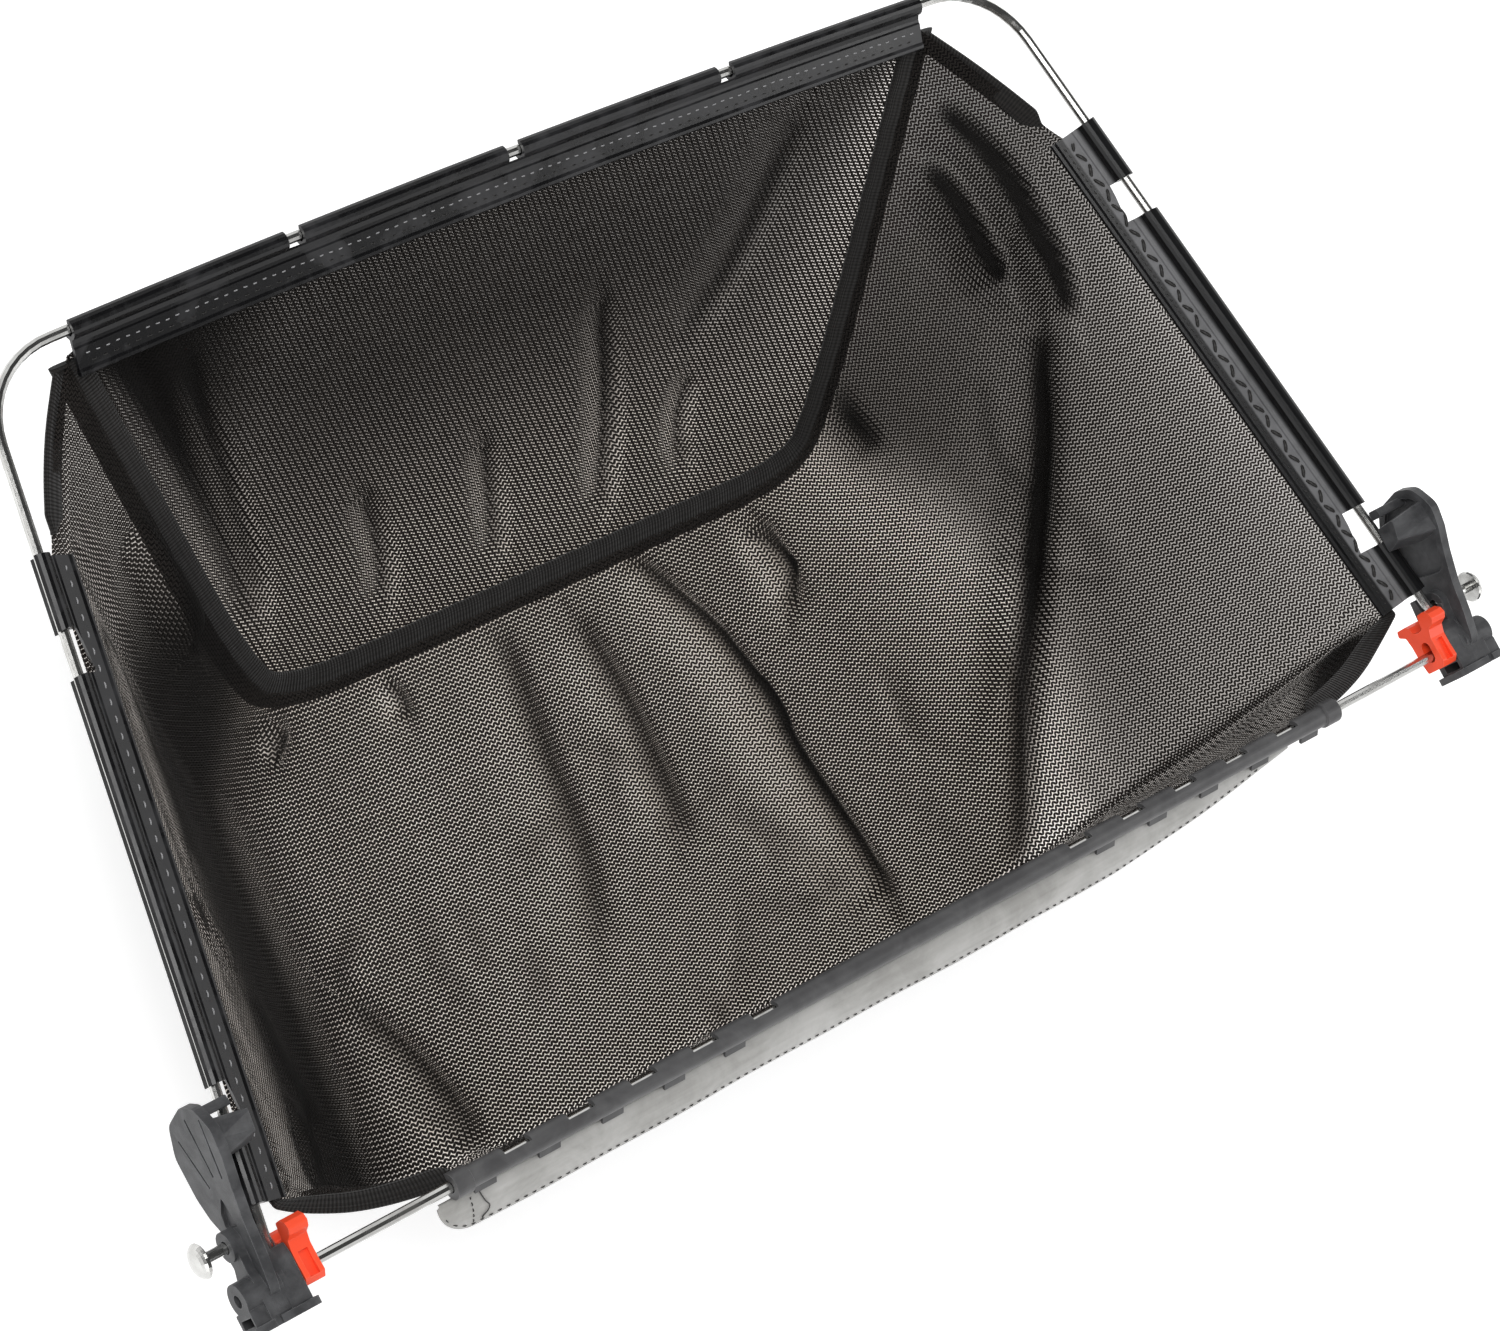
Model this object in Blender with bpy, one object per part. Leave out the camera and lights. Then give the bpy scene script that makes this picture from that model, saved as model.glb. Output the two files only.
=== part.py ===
"""Hedge trimmer collection bag: a net bag hung in a spring wire frame with two blade brackets.

The frame lies level, mouth up, and the bag rests on its flat bottom. X runs along the front
rod, Y from the front (blade side) to the back, Z up. The origin is below the middle of the
overall box. All sizes are in millimetres and turn into metres when a mesh is made.
"""
import math

import bmesh
import bpy
import numpy as np
from mathutils import Matrix, Vector

MM = 0.001
GAP = 0.3                     # clearance between neighbours that touch on the real bag

# Wire frame
WIRE_D = 3.5
FRONT_W = 496.0               # between the side lines, measured on the front rod
BACK_W = 404.0                # between the side lines, measured on the back line
FRAME_DEPTH = 275.0
BACK_BOW = 3.5                # the back run bows outward in its middle
BACK_CORNER_R = 30.0
LEG_END_Y = 2.4               # free end of each side leg, short of the front rod
WIRE_HEIGHT = 111.0           # wire axis above the ground

# Clip-on edge profiles
CHANNEL_WALL = 1.3
CHANNEL_MOUTH_DEG = 96.0      # opening of the C, on its outer side
CHANNEL_TURN_DEG = 8.0        # the opening looks slightly down
WEB_TILT_DEG = 30.0
WEB_LEN = 15.0                # from the wire axis to the web's bead
WEB_T = 1.4
BEAD_D = 2.4
WEB_GROOVE = 0.4
WINDOW_REACH = 6.4            # how far from the wire a window cuts the web
SEAM_TOP_HALF = 174.0         # the U seam meets the mouth here
BACK_PROFILE_HALF = SEAM_TOP_HALF - 4.0
SIDE_PROFILE_Y = (22.0, 217.0)
SIDE_WINDOWS = ((42.5, 57.5), (180.0, 194.0))
BACK_NOTCH_X = (-88.0, -2.5, 85.0)
BACK_NOTCH_W = 6.0
BACK_NOTCH_REACH = 3.0

# Front clip strip and slider sheet
CLIP_WALL = 1.5
CLIP_HALF = 187.0
CLIP_MOUTH_DEG = 92.0
CLIP_COLLAR_W = 6.0
CLIP_COLLAR_GROW = 0.7
CLIP_PITCH = 24.0
CLIP_FINGER_COUNT = 5
CLIP_NOTCH_W = 10.0
CLIP_TAB_W = 8.0
CLIP_TAB_LEN = 3.4
CLIP_TAB_T = 1.0
SHEET_T = 0.9
SHEET_DROP = 14.4
SHEET_LEFT = -CLIP_HALF - 4.0
SHEET_RIGHT = CLIP_HALF - 21.0
SHEET_TAPER = 81.0
SHEET_END_R = 13.0
SHEET_BOW = 1.6

# Net bag
NET_T = 1.2
BACK_FOOT_Y = 160.0           # where the back panel meets the ground
BOTTOM_HALF_BACK = 120.0
BOTTOM_HALF_FRONT = 128.0
FLAT_FRONT_Y = 15.0           # where the bottom turns up to the front clip
FRONT_WALL_Y = 5.0            # the steep front wall hangs here, behind the clip
RIGHT_SPREAD = 28.0           # the bag lies this much wider on its right
UNDER_WEB = 8.0               # the net's edge runs this far from the wire axis under a web
UNDER_CORNER = 11.0           # and this far where it is bound at an open corner
FRONT_EDGE_HALF = CLIP_HALF - 7.0
NET_SMOOTH_DEG = 80.0
NET_COLUMN_COUNT = 42
NET_ROW_COUNT = 24
TAPE_W = 10.0
TAPE_T = 2.0
BINDING_W = 6.0
BINDING_T = 2.2

# Bracket, given for the right side, x measured from the frame's middle
LEG_X = FRONT_W / 2
PLATE_X = (LEG_X + 3.0, LEG_X + 6.2)
PLATE_RIM = 1.5
PLATE_RIM_W = 1.8
PIN_Y = 15.0
PIN_D = 3.5
PIN_HEAD_D = 11.2
PIN_HEAD_H = 3.4
PIN_HEAD_X = LEG_X + 17.8     # underside of the head
PIN_END_X = LEG_X + 0.6
BOSS_R = 4.7
BOSS_X = (LEG_X + 0.2, LEG_X + 10.0)
ROD_BOSS_R = 5.3
ROD_BOSS_X = (LEG_X + 1.5, LEG_X + 14.0)
ROD_END_X = LEG_X + 12.6
FLANGE_Y = (-11.2, -8.8)
FLANGE_X = (LEG_X - 7.2, LEG_X + 15.0)
FLANGE_NOTCH_X = (LEG_X + 6.4, LEG_X + 8.6)
FLANGE_Z = (-9.0, 5.5)
BLOCK_X = (LEG_X - 5.1, LEG_X + 2.0)
TOE_X = (LEG_X + 8.0, LEG_X + 14.0)
TONGUE_X = (LEG_X - 4.4, LEG_X + 1.6)
HOOK_TIP_X = LEG_X - 9.8
LEDGE_TIP_X = LEG_X - 8.5
WEB_X = (BOSS_X[0] - 0.4, LEG_X + 9.0)
BLADE_SLOT_Y = (-8.3, -5.6)
BLADE_SLOT_HALF = 4.5

# Slide lock
LOCK_X = (LEG_X - 12.0, LEG_X - 5.4)
LOCK_TRAVEL = 3.0
LOCK_SLOT_SPARE = 0.5         # room before the rod when the lock is back

WIRE_R = WIRE_D / 2
CHANNEL_IN = WIRE_R + GAP
CHANNEL_OUT = CHANNEL_IN + CHANNEL_WALL
CLIP_IN = WIRE_R + GAP
CLIP_OUT = CLIP_IN + CLIP_WALL
SLOPE = (FRONT_W - BACK_W) / 2 / FRAME_DEPTH
Y_MIN = FLANGE_Y[0]
LIP_DEG = CHANNEL_MOUTH_DEG / 2 - CHANNEL_TURN_DEG
Y_MAX = FRAME_DEPTH + BACK_BOW + CHANNEL_OUT * math.cos(math.radians(LIP_DEG))
Y_SHIFT = -(Y_MIN + Y_MAX) / 2


def to_world(p):
    """Millimetres in the frame's own axes to metres on the ground."""
    return Vector((p[0] * MM, (p[1] + Y_SHIFT) * MM, (p[2] + WIRE_HEIGHT) * MM))


def side_x(y):
    """Distance of a side leg's axis from the middle."""
    return FRONT_W / 2 - SLOPE * y


def back_y(x):
    """Axis of the bowed back run."""
    return FRAME_DEPTH + BACK_BOW * (1 - (2 * x / BACK_W) ** 2)


def material(name, colour, roughness, metallic=0.0):
    mat = bpy.data.materials.new(name)
    mat.use_nodes = True
    shader = mat.node_tree.nodes["Principled BSDF"]
    shader.inputs["Base Color"].default_value = (*colour, 1.0)
    shader.inputs["Roughness"].default_value = roughness
    shader.inputs["Metallic"].default_value = metallic
    return mat


def finish(name, bm, mat, smooth=None):
    """Close off a bmesh as a named object; smooth is the sharpest angle still shaded round."""
    bmesh.ops.recalc_face_normals(bm, faces=bm.faces)
    mesh = bpy.data.meshes.new(name)
    bm.to_mesh(mesh)
    bm.free()
    if smooth is not None:
        mesh.shade_smooth()
        mesh.set_sharp_from_angle(angle=math.radians(smooth))
    mesh.materials.append(mat)
    obj = bpy.data.objects.new(name, mesh)
    bpy.context.collection.objects.link(obj)
    return obj


def loft(sections, closed=False):
    """Skin a list of equal point loops; the ends are capped unless the loft is closed."""
    bm = bmesh.new()
    rings = [[bm.verts.new(to_world(p)) for p in ring] for ring in sections]
    count = len(rings[0])
    last = len(rings) if closed else len(rings) - 1
    for a in range(last):
        ring, after = rings[a], rings[(a + 1) % len(rings)]
        for b in range(count):
            c = (b + 1) % count
            bm.faces.new((ring[b], ring[c], after[c], after[b]))
    if not closed:
        bm.faces.new(rings[0])
        bm.faces.new(rings[-1])
    return bm


def prism_x(outline, x0, x1):
    """Extrude a (y, z) outline along X."""
    return loft([[(x, y, z) for y, z in outline] for x in (x0, x1)])


def box(x0, x1, y0, y1, z0, z1):
    return prism_x([(y0, z0), (y1, z0), (y1, z1), (y0, z1)], x0, x1)


def circle(cy, cz, radius, count=28):
    step = 2 * math.pi / count
    return [(cy + radius * math.cos(step * k), cz + radius * math.sin(step * k)) for k in range(count)]


def rounded(points, radius, steps=4):
    """Round the corners of a closed outline; radius is one value or one for each corner."""
    out = []
    count = len(points)
    for k, point in enumerate(points):
        r = radius[k] if isinstance(radius, (list, tuple)) else radius
        here = Vector(point)
        before = Vector(points[k - 1]) - here
        after = Vector(points[(k + 1) % count]) - here
        turn = before.angle(after)
        reach = r / math.tan(turn / 2) if r > 0 else 0.0
        reach = min(reach, 0.45 * before.length, 0.45 * after.length)
        if reach < 1e-6:
            out.append(tuple(here))
            continue
        start = here + before.normalized() * reach
        stop = here + after.normalized() * reach
        for n in range(steps + 1):
            t = n / steps
            out.append(tuple(start * (1 - t) ** 2 + here * 2 * t * (1 - t) + stop * t * t))
    return out


def combine(base, operation, bm):
    """Join or cut a bmesh solid into an object with an exact Boolean, then keep the result."""
    bmesh.ops.recalc_face_normals(bm, faces=bm.faces)
    mesh = bpy.data.meshes.new("tool")
    bm.to_mesh(mesh)
    bm.free()
    tool = bpy.data.objects.new("tool", mesh)
    bpy.context.collection.objects.link(tool)
    step = base.modifiers.new("Boolean", "BOOLEAN")
    step.operation = operation
    step.solver = "EXACT"
    step.object = tool
    graph = bpy.context.evaluated_depsgraph_get()
    result = bpy.data.meshes.new_from_object(base.evaluated_get(graph))
    base.modifiers.clear()
    base.data = result
    bpy.data.objects.remove(tool)


def tidy(obj, smooth=35.0):
    """Clear slivers that Booleans leave and set the shading."""
    bm = bmesh.new()
    bm.from_mesh(obj.data)
    bmesh.ops.remove_doubles(bm, verts=bm.verts, dist=0.00002)
    bmesh.ops.dissolve_degenerate(bm, edges=bm.edges, dist=0.00001)
    bmesh.ops.triangulate(bm, faces=[f for f in bm.faces if len(f.verts) > 4])
    bmesh.ops.recalc_face_normals(bm, faces=bm.faces)
    bm.to_mesh(obj.data)
    bm.free()
    obj.data.shade_smooth()
    obj.data.set_sharp_from_angle(angle=math.radians(smooth))
    return obj


def mirrored(obj, name):
    """The left-hand twin of a right-hand piece."""
    mesh = obj.data.copy()
    mesh.name = name
    mesh.transform(Matrix.Scale(-1.0, 4, (1, 0, 0)))
    mesh.flip_normals()
    twin = bpy.data.objects.new(name, mesh)
    twin.location = Vector((-obj.location.x, obj.location.y, obj.location.z))
    bpy.context.collection.objects.link(twin)
    return twin


def set_origin(obj, point):
    """Move a piece's origin onto its joint's axis and leave the piece in place."""
    place = to_world(point)
    obj.data.transform(Matrix.Translation(-place))
    obj.location = place


def section_frames(path, up=Vector((0, 0, 1))):
    """Tangent and sideways direction at each point of a path."""
    frames = []
    for k, point in enumerate(path):
        before = Vector(path[max(k - 1, 0)])
        after = Vector(path[min(k + 1, len(path) - 1)])
        along = (after - before).normalized()
        side = up.cross(along).normalized()
        frames.append((Vector(point), along, side))
    return frames


def arc_points(centre, radius, start_deg, stop_deg, steps):
    angles = [math.radians(start_deg + (stop_deg - start_deg) * k / steps) for k in range(steps + 1)]
    return [(centre[0] + radius * math.cos(a), centre[1] + radius * math.sin(a)) for a in angles]


def frame_path():
    """Axis of the bent wire: left leg, back run and right leg."""
    lean = math.atan(SLOPE)
    leg_dir = Vector((-math.sin(lean), math.cos(lean)))
    corner = Vector((BACK_W / 2, back_y(BACK_W / 2 - BACK_CORNER_R)))
    turn = math.pi / 2 + lean
    reach = BACK_CORNER_R / math.tan(turn / 2)
    into = corner - leg_dir * reach
    centre = into + Vector((-math.cos(lean), -math.sin(lean))) * BACK_CORNER_R
    half = [(side_x(LEG_END_Y), LEG_END_Y)]
    rows = 8
    for k in range(1, rows):
        half.append(tuple(Vector(half[0]).lerp(into, k / rows)))
    half += arc_points(centre, BACK_CORNER_R, math.degrees(lean), 90.0, 10)
    stop = half[-1][0]
    rise = half[-1][1] - back_y(stop)
    for k in range(1, 9):
        x = stop * (1 - k / 8)
        half.append((x, back_y(x) + rise * (1 - k / 8)))
    left = [(-x, y) for x, y in half]
    return [(x, y, 0.0) for x, y in left + half[-2::-1]]


def tube(name, path, diameter, mat):
    """A round bar along a path, as a bevelled curve."""
    curve = bpy.data.curves.new(name, "CURVE")
    curve.dimensions = "3D"
    curve.bevel_depth = diameter / 2 * MM
    curve.bevel_resolution = 3
    curve.use_fill_caps = True
    spline = curve.splines.new("POLY")
    spline.points.add(len(path) - 1)
    for point, place in zip(spline.points, path):
        point.co = (*to_world(place), 1.0)
    curve.materials.append(mat)
    obj = bpy.data.objects.new(name, curve)
    bpy.context.collection.objects.link(obj)
    return obj


def channel_outline():
    """C channel with its tilted web, as (inward, up) from the wire axis."""
    tilt = -math.radians(WEB_TILT_DEG)
    mouth = math.radians(CHANNEL_MOUTH_DEG) / 2
    back = math.pi + math.radians(CHANNEL_TURN_DEG)
    half = math.asin(WEB_T / 2 / CHANNEL_OUT)
    points = []

    def ring(radius, start, stop, steps):
        for k in range(steps + 1):
            a = start + (stop - start) * k / steps
            points.append((radius * math.cos(a), radius * math.sin(a)))

    def along(reach, offset):
        points.append((reach * math.cos(tilt) - offset * math.sin(tilt),
                       reach * math.sin(tilt) + offset * math.cos(tilt)))

    ring(CHANNEL_OUT, back + mouth, 2 * math.pi + tilt - half, 6)
    along(CHANNEL_OUT + 1.4, -WEB_T / 2)
    along(WEB_LEN - BEAD_D, -WEB_T / 2)
    along(WEB_LEN - 0.6 * BEAD_D, -BEAD_D / 2)
    along(WEB_LEN - 0.2 * BEAD_D, -BEAD_D / 2)
    along(WEB_LEN, -BEAD_D / 4)
    along(WEB_LEN, BEAD_D / 4)
    along(WEB_LEN - 0.2 * BEAD_D, BEAD_D / 2)
    along(WEB_LEN - 0.6 * BEAD_D, BEAD_D / 2)
    along(WEB_LEN - BEAD_D, WEB_T / 2)
    along(CHANNEL_OUT + 3.0, WEB_T / 2)
    along(CHANNEL_OUT + 2.4, WEB_T / 2 - WEB_GROOVE)
    along(CHANNEL_OUT + 1.4, WEB_T / 2 - WEB_GROOVE)
    ring(CHANNEL_OUT, 2 * math.pi + tilt + half, 2 * math.pi + back - mouth, 8)
    ring(CHANNEL_IN, 2 * math.pi + back - mouth, back + mouth, 12)
    return points


def place_outline(outline, point, inward):
    """Set an (inward, up) outline at a point of the wire."""
    p = Vector(point)
    return [tuple(p + inward * u + Vector((0, 0, v))) for u, v in outline]


def side_profile(mat):
    outline = channel_outline()
    lean = math.atan(SLOPE)
    inward = Vector((-math.cos(lean), -math.sin(lean), 0))
    rings = [place_outline(outline, (side_x(y), y, 0), inward) for y in SIDE_PROFILE_Y]
    obj = finish("right_profile", loft(rings), mat)
    reach = CHANNEL_OUT + 2
    for y0, y1 in SIDE_WINDOWS:
        x0 = side_x((y0 + y1) / 2)
        combine(obj, "DIFFERENCE", box(x0 - WINDOW_REACH, x0 + reach, y0, y1, -reach - 3, reach))
    return tidy(obj)


def back_profile(mat):
    outline = channel_outline()
    count = 12
    rings = []
    for k in range(count + 1):
        x = BACK_PROFILE_HALF * (2 * k / count - 1)
        slope = -8 * BACK_BOW * x / BACK_W ** 2
        inward = Vector((slope, -1, 0)).normalized()
        rings.append(place_outline(outline, (x, back_y(x), 0), inward))
    obj = finish("back_profile", loft(rings), mat)
    for x in BACK_NOTCH_X:
        low, high = x - BACK_NOTCH_W / 2, x + BACK_NOTCH_W / 2
        y = back_y(x)
        combine(obj, "DIFFERENCE", box(low, high, y - BACK_NOTCH_REACH, y + CHANNEL_OUT + 2,
                                       -CHANNEL_OUT - 2, CHANNEL_OUT + 2))
    return tidy(obj)


def front_clip(mat):
    """Moulded strip snapped over the front rod, with staggered fingers, tabs and end collars."""
    mouth = CLIP_MOUTH_DEG / 2
    opening = -50.0

    def ring(radius, grow=0.0):
        outer = arc_points((0, 0), radius + grow, opening + mouth, opening + 360 - mouth, 24)
        inner = arc_points((0, 0), CLIP_IN, opening + 360 - mouth, opening + mouth, 24)
        return outer + inner

    plain = ring(CLIP_OUT)
    collar = ring(CLIP_OUT, CLIP_COLLAR_GROW)
    step = 0.4
    stations = [(-CLIP_HALF, collar), (-CLIP_HALF + CLIP_COLLAR_W, collar),
                (-CLIP_HALF + CLIP_COLLAR_W + step, plain), (CLIP_HALF - CLIP_COLLAR_W - step, plain),
                (CLIP_HALF - CLIP_COLLAR_W, collar), (CLIP_HALF, collar)]
    rings = [[(x, y, z) for y, z in outline] for x, outline in stations]
    obj = finish("front_clip", loft(rings), mat)
    root = CLIP_OUT - 0.7
    tab = [(-root * 0.94, -root * 0.35), (-root * 0.6, -root * 0.8),
           (-root * 0.6 - CLIP_TAB_LEN * 0.71 - 0.4, -root * 0.8 - CLIP_TAB_LEN * 0.71 + 0.4),
           (-root * 0.6 - CLIP_TAB_LEN * 0.71 - 0.4 - CLIP_TAB_T * 0.71,
            -root * 0.8 - CLIP_TAB_LEN * 0.71 + 0.4 + CLIP_TAB_T * 0.71)]
    for k in range(CLIP_FINGER_COUNT):
        for side in (-1, 1):
            first = CLIP_HALF - CLIP_COLLAR_W - CLIP_PITCH * (k + 0.25)
            x0 = side * first - CLIP_TAB_W / 2
            combine(obj, "UNION", prism_x(tab, x0, x0 + CLIP_TAB_W))
            middle = side * (first - CLIP_PITCH / 2)
            combine(obj, "DIFFERENCE", box(middle - CLIP_NOTCH_W / 2, middle + CLIP_NOTCH_W / 2,
                                           0.9, CLIP_OUT + 1, -0.6, CLIP_OUT + 1))
    return tidy(obj)


def strip(name, left, right, thickness, mat, smooth=60.0):
    """A closed band between two edge curves, with its thickness set square to the band."""
    rings = []
    count = len(left)
    for k in range(count):
        a, b = Vector(left[k]), Vector(right[k])
        before = (Vector(left[max(k - 1, 0)]) + Vector(right[max(k - 1, 0)])) / 2
        nxt = min(k + 1, count - 1)
        after = (Vector(left[nxt]) + Vector(right[nxt])) / 2
        normal = (after - before).cross(b - a).normalized() * (thickness / 2)
        edge = (b - a).normalized() * (thickness / 4)
        rings.append([a + normal + edge, b + normal - edge, b + normal * 0.5, b - normal * 0.5,
                      b - normal - edge, a - normal + edge, a - normal * 0.5, a + normal * 0.5])
    return finish(name, loft(rings), mat, smooth)


def chaikin(points, rounds):
    """Cut the corners of an open control line; the ends stay."""
    line = [np.array(p, float) for p in points]
    for _ in range(rounds):
        new = [line[0]]
        for a, b in zip(line, line[1:]):
            new += [0.75 * a + 0.25 * b, 0.25 * a + 0.75 * b]
        line = new + [line[-1]]
    return np.array(line)


def resample(line, count):
    """Equal steps along a polyline."""
    line = np.asarray(line, float)
    steps = np.linalg.norm(np.diff(line, axis=0), axis=1)
    run = np.r_[0.0, np.cumsum(steps)]
    if run[-1] < 1e-9:
        return np.repeat(line[:1], count, axis=0)
    where = np.linspace(0.0, run[-1], count)
    return np.stack([np.interp(where, run, line[:, k]) for k in range(3)], axis=1)


def smooth_step(t):
    t = np.clip(t, 0.0, 1.0)
    return t * t * (3 - 2 * t)


def offset_outline(line, reach):
    """Shift an open 2-D line square to itself, to the left of its run."""
    line = np.asarray(line, float)
    along = np.gradient(line, axis=0)
    along /= np.linalg.norm(along, axis=1)[:, None]
    return line + reach * np.stack([-along[:, 1], along[:, 0]], axis=1)


BACK_TOP = np.array([FRAME_DEPTH - 4.3, -6.3])
BACK_FOOT = np.array([BACK_FOOT_Y, TAPE_T / 2 + 0.2 - WIRE_HEIGHT])
BACK_LENGTH = float(np.linalg.norm(BACK_FOOT - BACK_TOP))
BACK_DOWN = (BACK_FOOT - BACK_TOP) / BACK_LENGTH


def on_back(points):
    """Points (x, distance down the slope) on the back panel's plane to frame axes."""
    points = np.asarray(points, float)
    yz = BACK_TOP + points[:, 1:2] * BACK_DOWN
    return np.column_stack([points[:, 0], yz])


def seam_outline(count):
    """The back panel's U seam, left to right, as (x, distance down the slope)."""
    left = [(-SEAM_TOP_HALF, 4.5), (-SEAM_TOP_HALF + 30, 0.55 * BACK_LENGTH),
            (-BOTTOM_HALF_BACK - 6, 0.86 * BACK_LENGTH), (-BOTTOM_HALF_BACK + 8, BACK_LENGTH),
            (-0.4 * BOTTOM_HALF_BACK, BACK_LENGTH)]
    control = left + [(-x, q) for x, q in reversed(left)]
    line = chaikin([(x, q, 0) for x, q in control], 4)
    return resample(line, count)[:, :2]


def under_web(y, reach):
    """Left mouth edge of the net, below the side web, at a distance from the wire axis."""
    tilt = math.radians(WEB_TILT_DEG)
    drop = BEAD_D / 2 + 2 * GAP + NET_T / 2
    inward = reach * math.cos(tilt) - drop * math.sin(tilt)
    return (-side_x(y) + inward, y, -reach * math.sin(tilt) - drop * math.cos(tilt))


def bag_stations():
    """Mouth edge, its inward run, lower corner and bottom middle, from the seam to the front."""
    low = NET_T / 2 - WIRE_HEIGHT
    y0, y1 = SIDE_PROFILE_Y
    side = (0.86, -0.14, -0.5)
    flat = FLAT_FRONT_Y
    bottom = (BACK_FOOT_Y - flat) / 5
    half = [BOTTOM_HALF_BACK + (BOTTOM_HALF_FRONT - BOTTOM_HALF_BACK) * k / 5 for k in range(6)]
    front = -CLIP_OUT - GAP - NET_T / 2
    rear = UNDER_CORNER
    return [
        ((-SEAM_TOP_HALF, BACK_TOP[0] - 3.3, -9.4), (0.35, -0.8, -0.5),
         (-half[0], BACK_FOOT_Y, low), (0, BACK_FOOT_Y, low)),
        ((13.0 - BACK_W / 2, FRAME_DEPTH - 29.0, -9.5), (0.65, -0.55, -0.5),
         (-half[1], flat + 4.5 * bottom, low), (0, flat + 4.5 * bottom, low)),
        (under_web(y1 + 2, rear), side,
         (-half[2], flat + 4 * bottom, low), (0, flat + 4 * bottom, low)),
        (under_web(y1 - 3, UNDER_WEB), side,
         (-half[2], flat + 3.6 * bottom, low), (0, flat + 3.6 * bottom, low)),
        (under_web(0.65 * y1, UNDER_WEB), side,
         (-half[3], flat + 2 * bottom, low), (0, flat + 2 * bottom, low)),
        (under_web(0.36 * y1, UNDER_WEB), side,
         (-half[4], flat + bottom, low), (0, flat + bottom, low)),
        (under_web(0.18 * y1, UNDER_WEB), side,
         (-half[5], flat, low), (0, flat, low)),
        (under_web(y0 - 1, UNDER_WEB), side,
         (-half[5] - 8, FRONT_WALL_Y + 1, 0.86 * low), (0, FRONT_WALL_Y + 1, 0.86 * low)),
        ((21.5 - FRONT_W / 2, 14.5, -9.5), (0.7, 0.5, -0.5),
         (-half[5] - 28, FRONT_WALL_Y, 0.44 * low), (0, FRONT_WALL_Y, 0.44 * low)),
        ((6.0 - (FRONT_EDGE_HALF + FRONT_W / 2) / 2, 6.5, -8.0), (0.4, 0.75, -0.5),
         (-0.99 * FRONT_EDGE_HALF, FRONT_WALL_Y, -11.0), (0, FRONT_WALL_Y, -11.0)),
        ((-FRONT_EDGE_HALF, 1.8, front), (0.0, 0.86, -0.5),
         (-FRONT_EDGE_HALF, 1.8, front), (0, 1.8, front)),
    ]


def front_binding_end():
    """Where on the stations the front binding stops, at the end of the front clip."""
    keys = bag_stations()
    before, last = keys[-2][0][0], keys[-1][0][0]
    return (len(keys) - 2 + (before + CLIP_HALF) / (before - last)) / (len(keys) - 1)


def along_stations(t):
    """Blend the stations at t, from 0 at the seam to 1 at the front edge."""
    keys = bag_stations()
    where = t * (len(keys) - 1)
    steps = np.arange(len(keys))
    out = []
    for item in range(4):
        line = np.array([key[item] for key in keys], float)
        if item in (2, 3):
            line = resample_even(chaikin(line, 3), steps)
        out.append(np.array([np.interp(where, steps, line[:, k]) for k in range(3)]))
    return out


def resample_even(line, steps):
    """Read a smoothed control line back at its even steps."""
    run = np.linspace(0, len(steps) - 1, len(line))
    return np.stack([np.interp(steps, run, line[:, k]) for k in range(3)], axis=1)


FOLDS = (
    # across start, along start, across end, along end, width, height
    (0.62, 0.10, 0.50, 0.46, 0.045, 7.0),
    (0.50, 0.46, 0.58, 0.90, 0.045, 7.0),
    (0.36, 0.06, 0.30, 0.42, 0.040, 5.0),
    (0.10, 0.20, 0.34, 0.74, 0.040, 4.5),
    (-0.30, 0.10, -0.36, 0.50, 0.040, 4.0),
    (-0.62, 0.16, -0.50, 0.70, 0.050, 8.0),
    (-0.48, 0.62, -0.40, 0.90, 0.035, 4.0),
    (0.80, 0.14, 0.74, 0.60, 0.035, 4.0),
)


def fold_height(s, t):
    """Inward rise of the slack net at (across, along)."""
    rise = 0.0
    for s0, t0, s1, t1, width, height in FOLDS:
        run = np.array([s1 - s0, t1 - t0])
        here = np.array([s - s0, t - t0])
        u = float(np.clip(here @ run / (run @ run), 0, 1))
        off = here - u * run
        gap = math.hypot(off[0], off[1])
        rise += height * math.sin(math.pi * (0.12 + 0.76 * u)) * math.exp(-(gap / width) ** 2)
    edge = smooth_step((1 - abs(s)) / 0.16) * smooth_step(t / 0.08) * smooth_step((1 - t) / 0.1)
    return rise * float(edge)


def side_run(top, knee, corner, middle):
    """Control points from the mouth down one wall and half way over the bottom."""
    return [top, knee, knee * 0.55 + corner * 0.45, knee * 0.15 + corner * 0.85,
            corner * 0.85 + middle * 0.15, corner * 0.5 + middle * 0.5]


def section_line(t, columns):
    """One cross-section of the bag, left mouth edge to right mouth edge."""
    top, into, corner, middle = along_stations(t)
    lead = 11.0 * min(1.0, (1 - t) * 5)
    knee = top + into * lead
    flip = np.array([-1.0, 1.0, 1.0])
    spread = RIGHT_SPREAD * smooth_step(t / 0.5) * smooth_step((1 - t) / 0.5)
    wide = corner * flip + np.array([spread, 0.0, 0.0])
    left = side_run(top, knee, corner, middle)
    right = side_run(top * flip, knee * flip, wide, middle)
    return resample(chaikin(left + [middle] + right[::-1], 3), columns + 1)


def seam_start(columns):
    """First row of the main panel, just outside the bound U seam."""
    outline = offset_outline(seam_outline(columns + 1), GAP + 0.5)
    rows = on_back(outline)
    rows[:, 1] -= 0.9
    rows[:, 2] = np.maximum(rows[:, 2], NET_T / 2 - WIRE_HEIGHT)
    return rows


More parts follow.
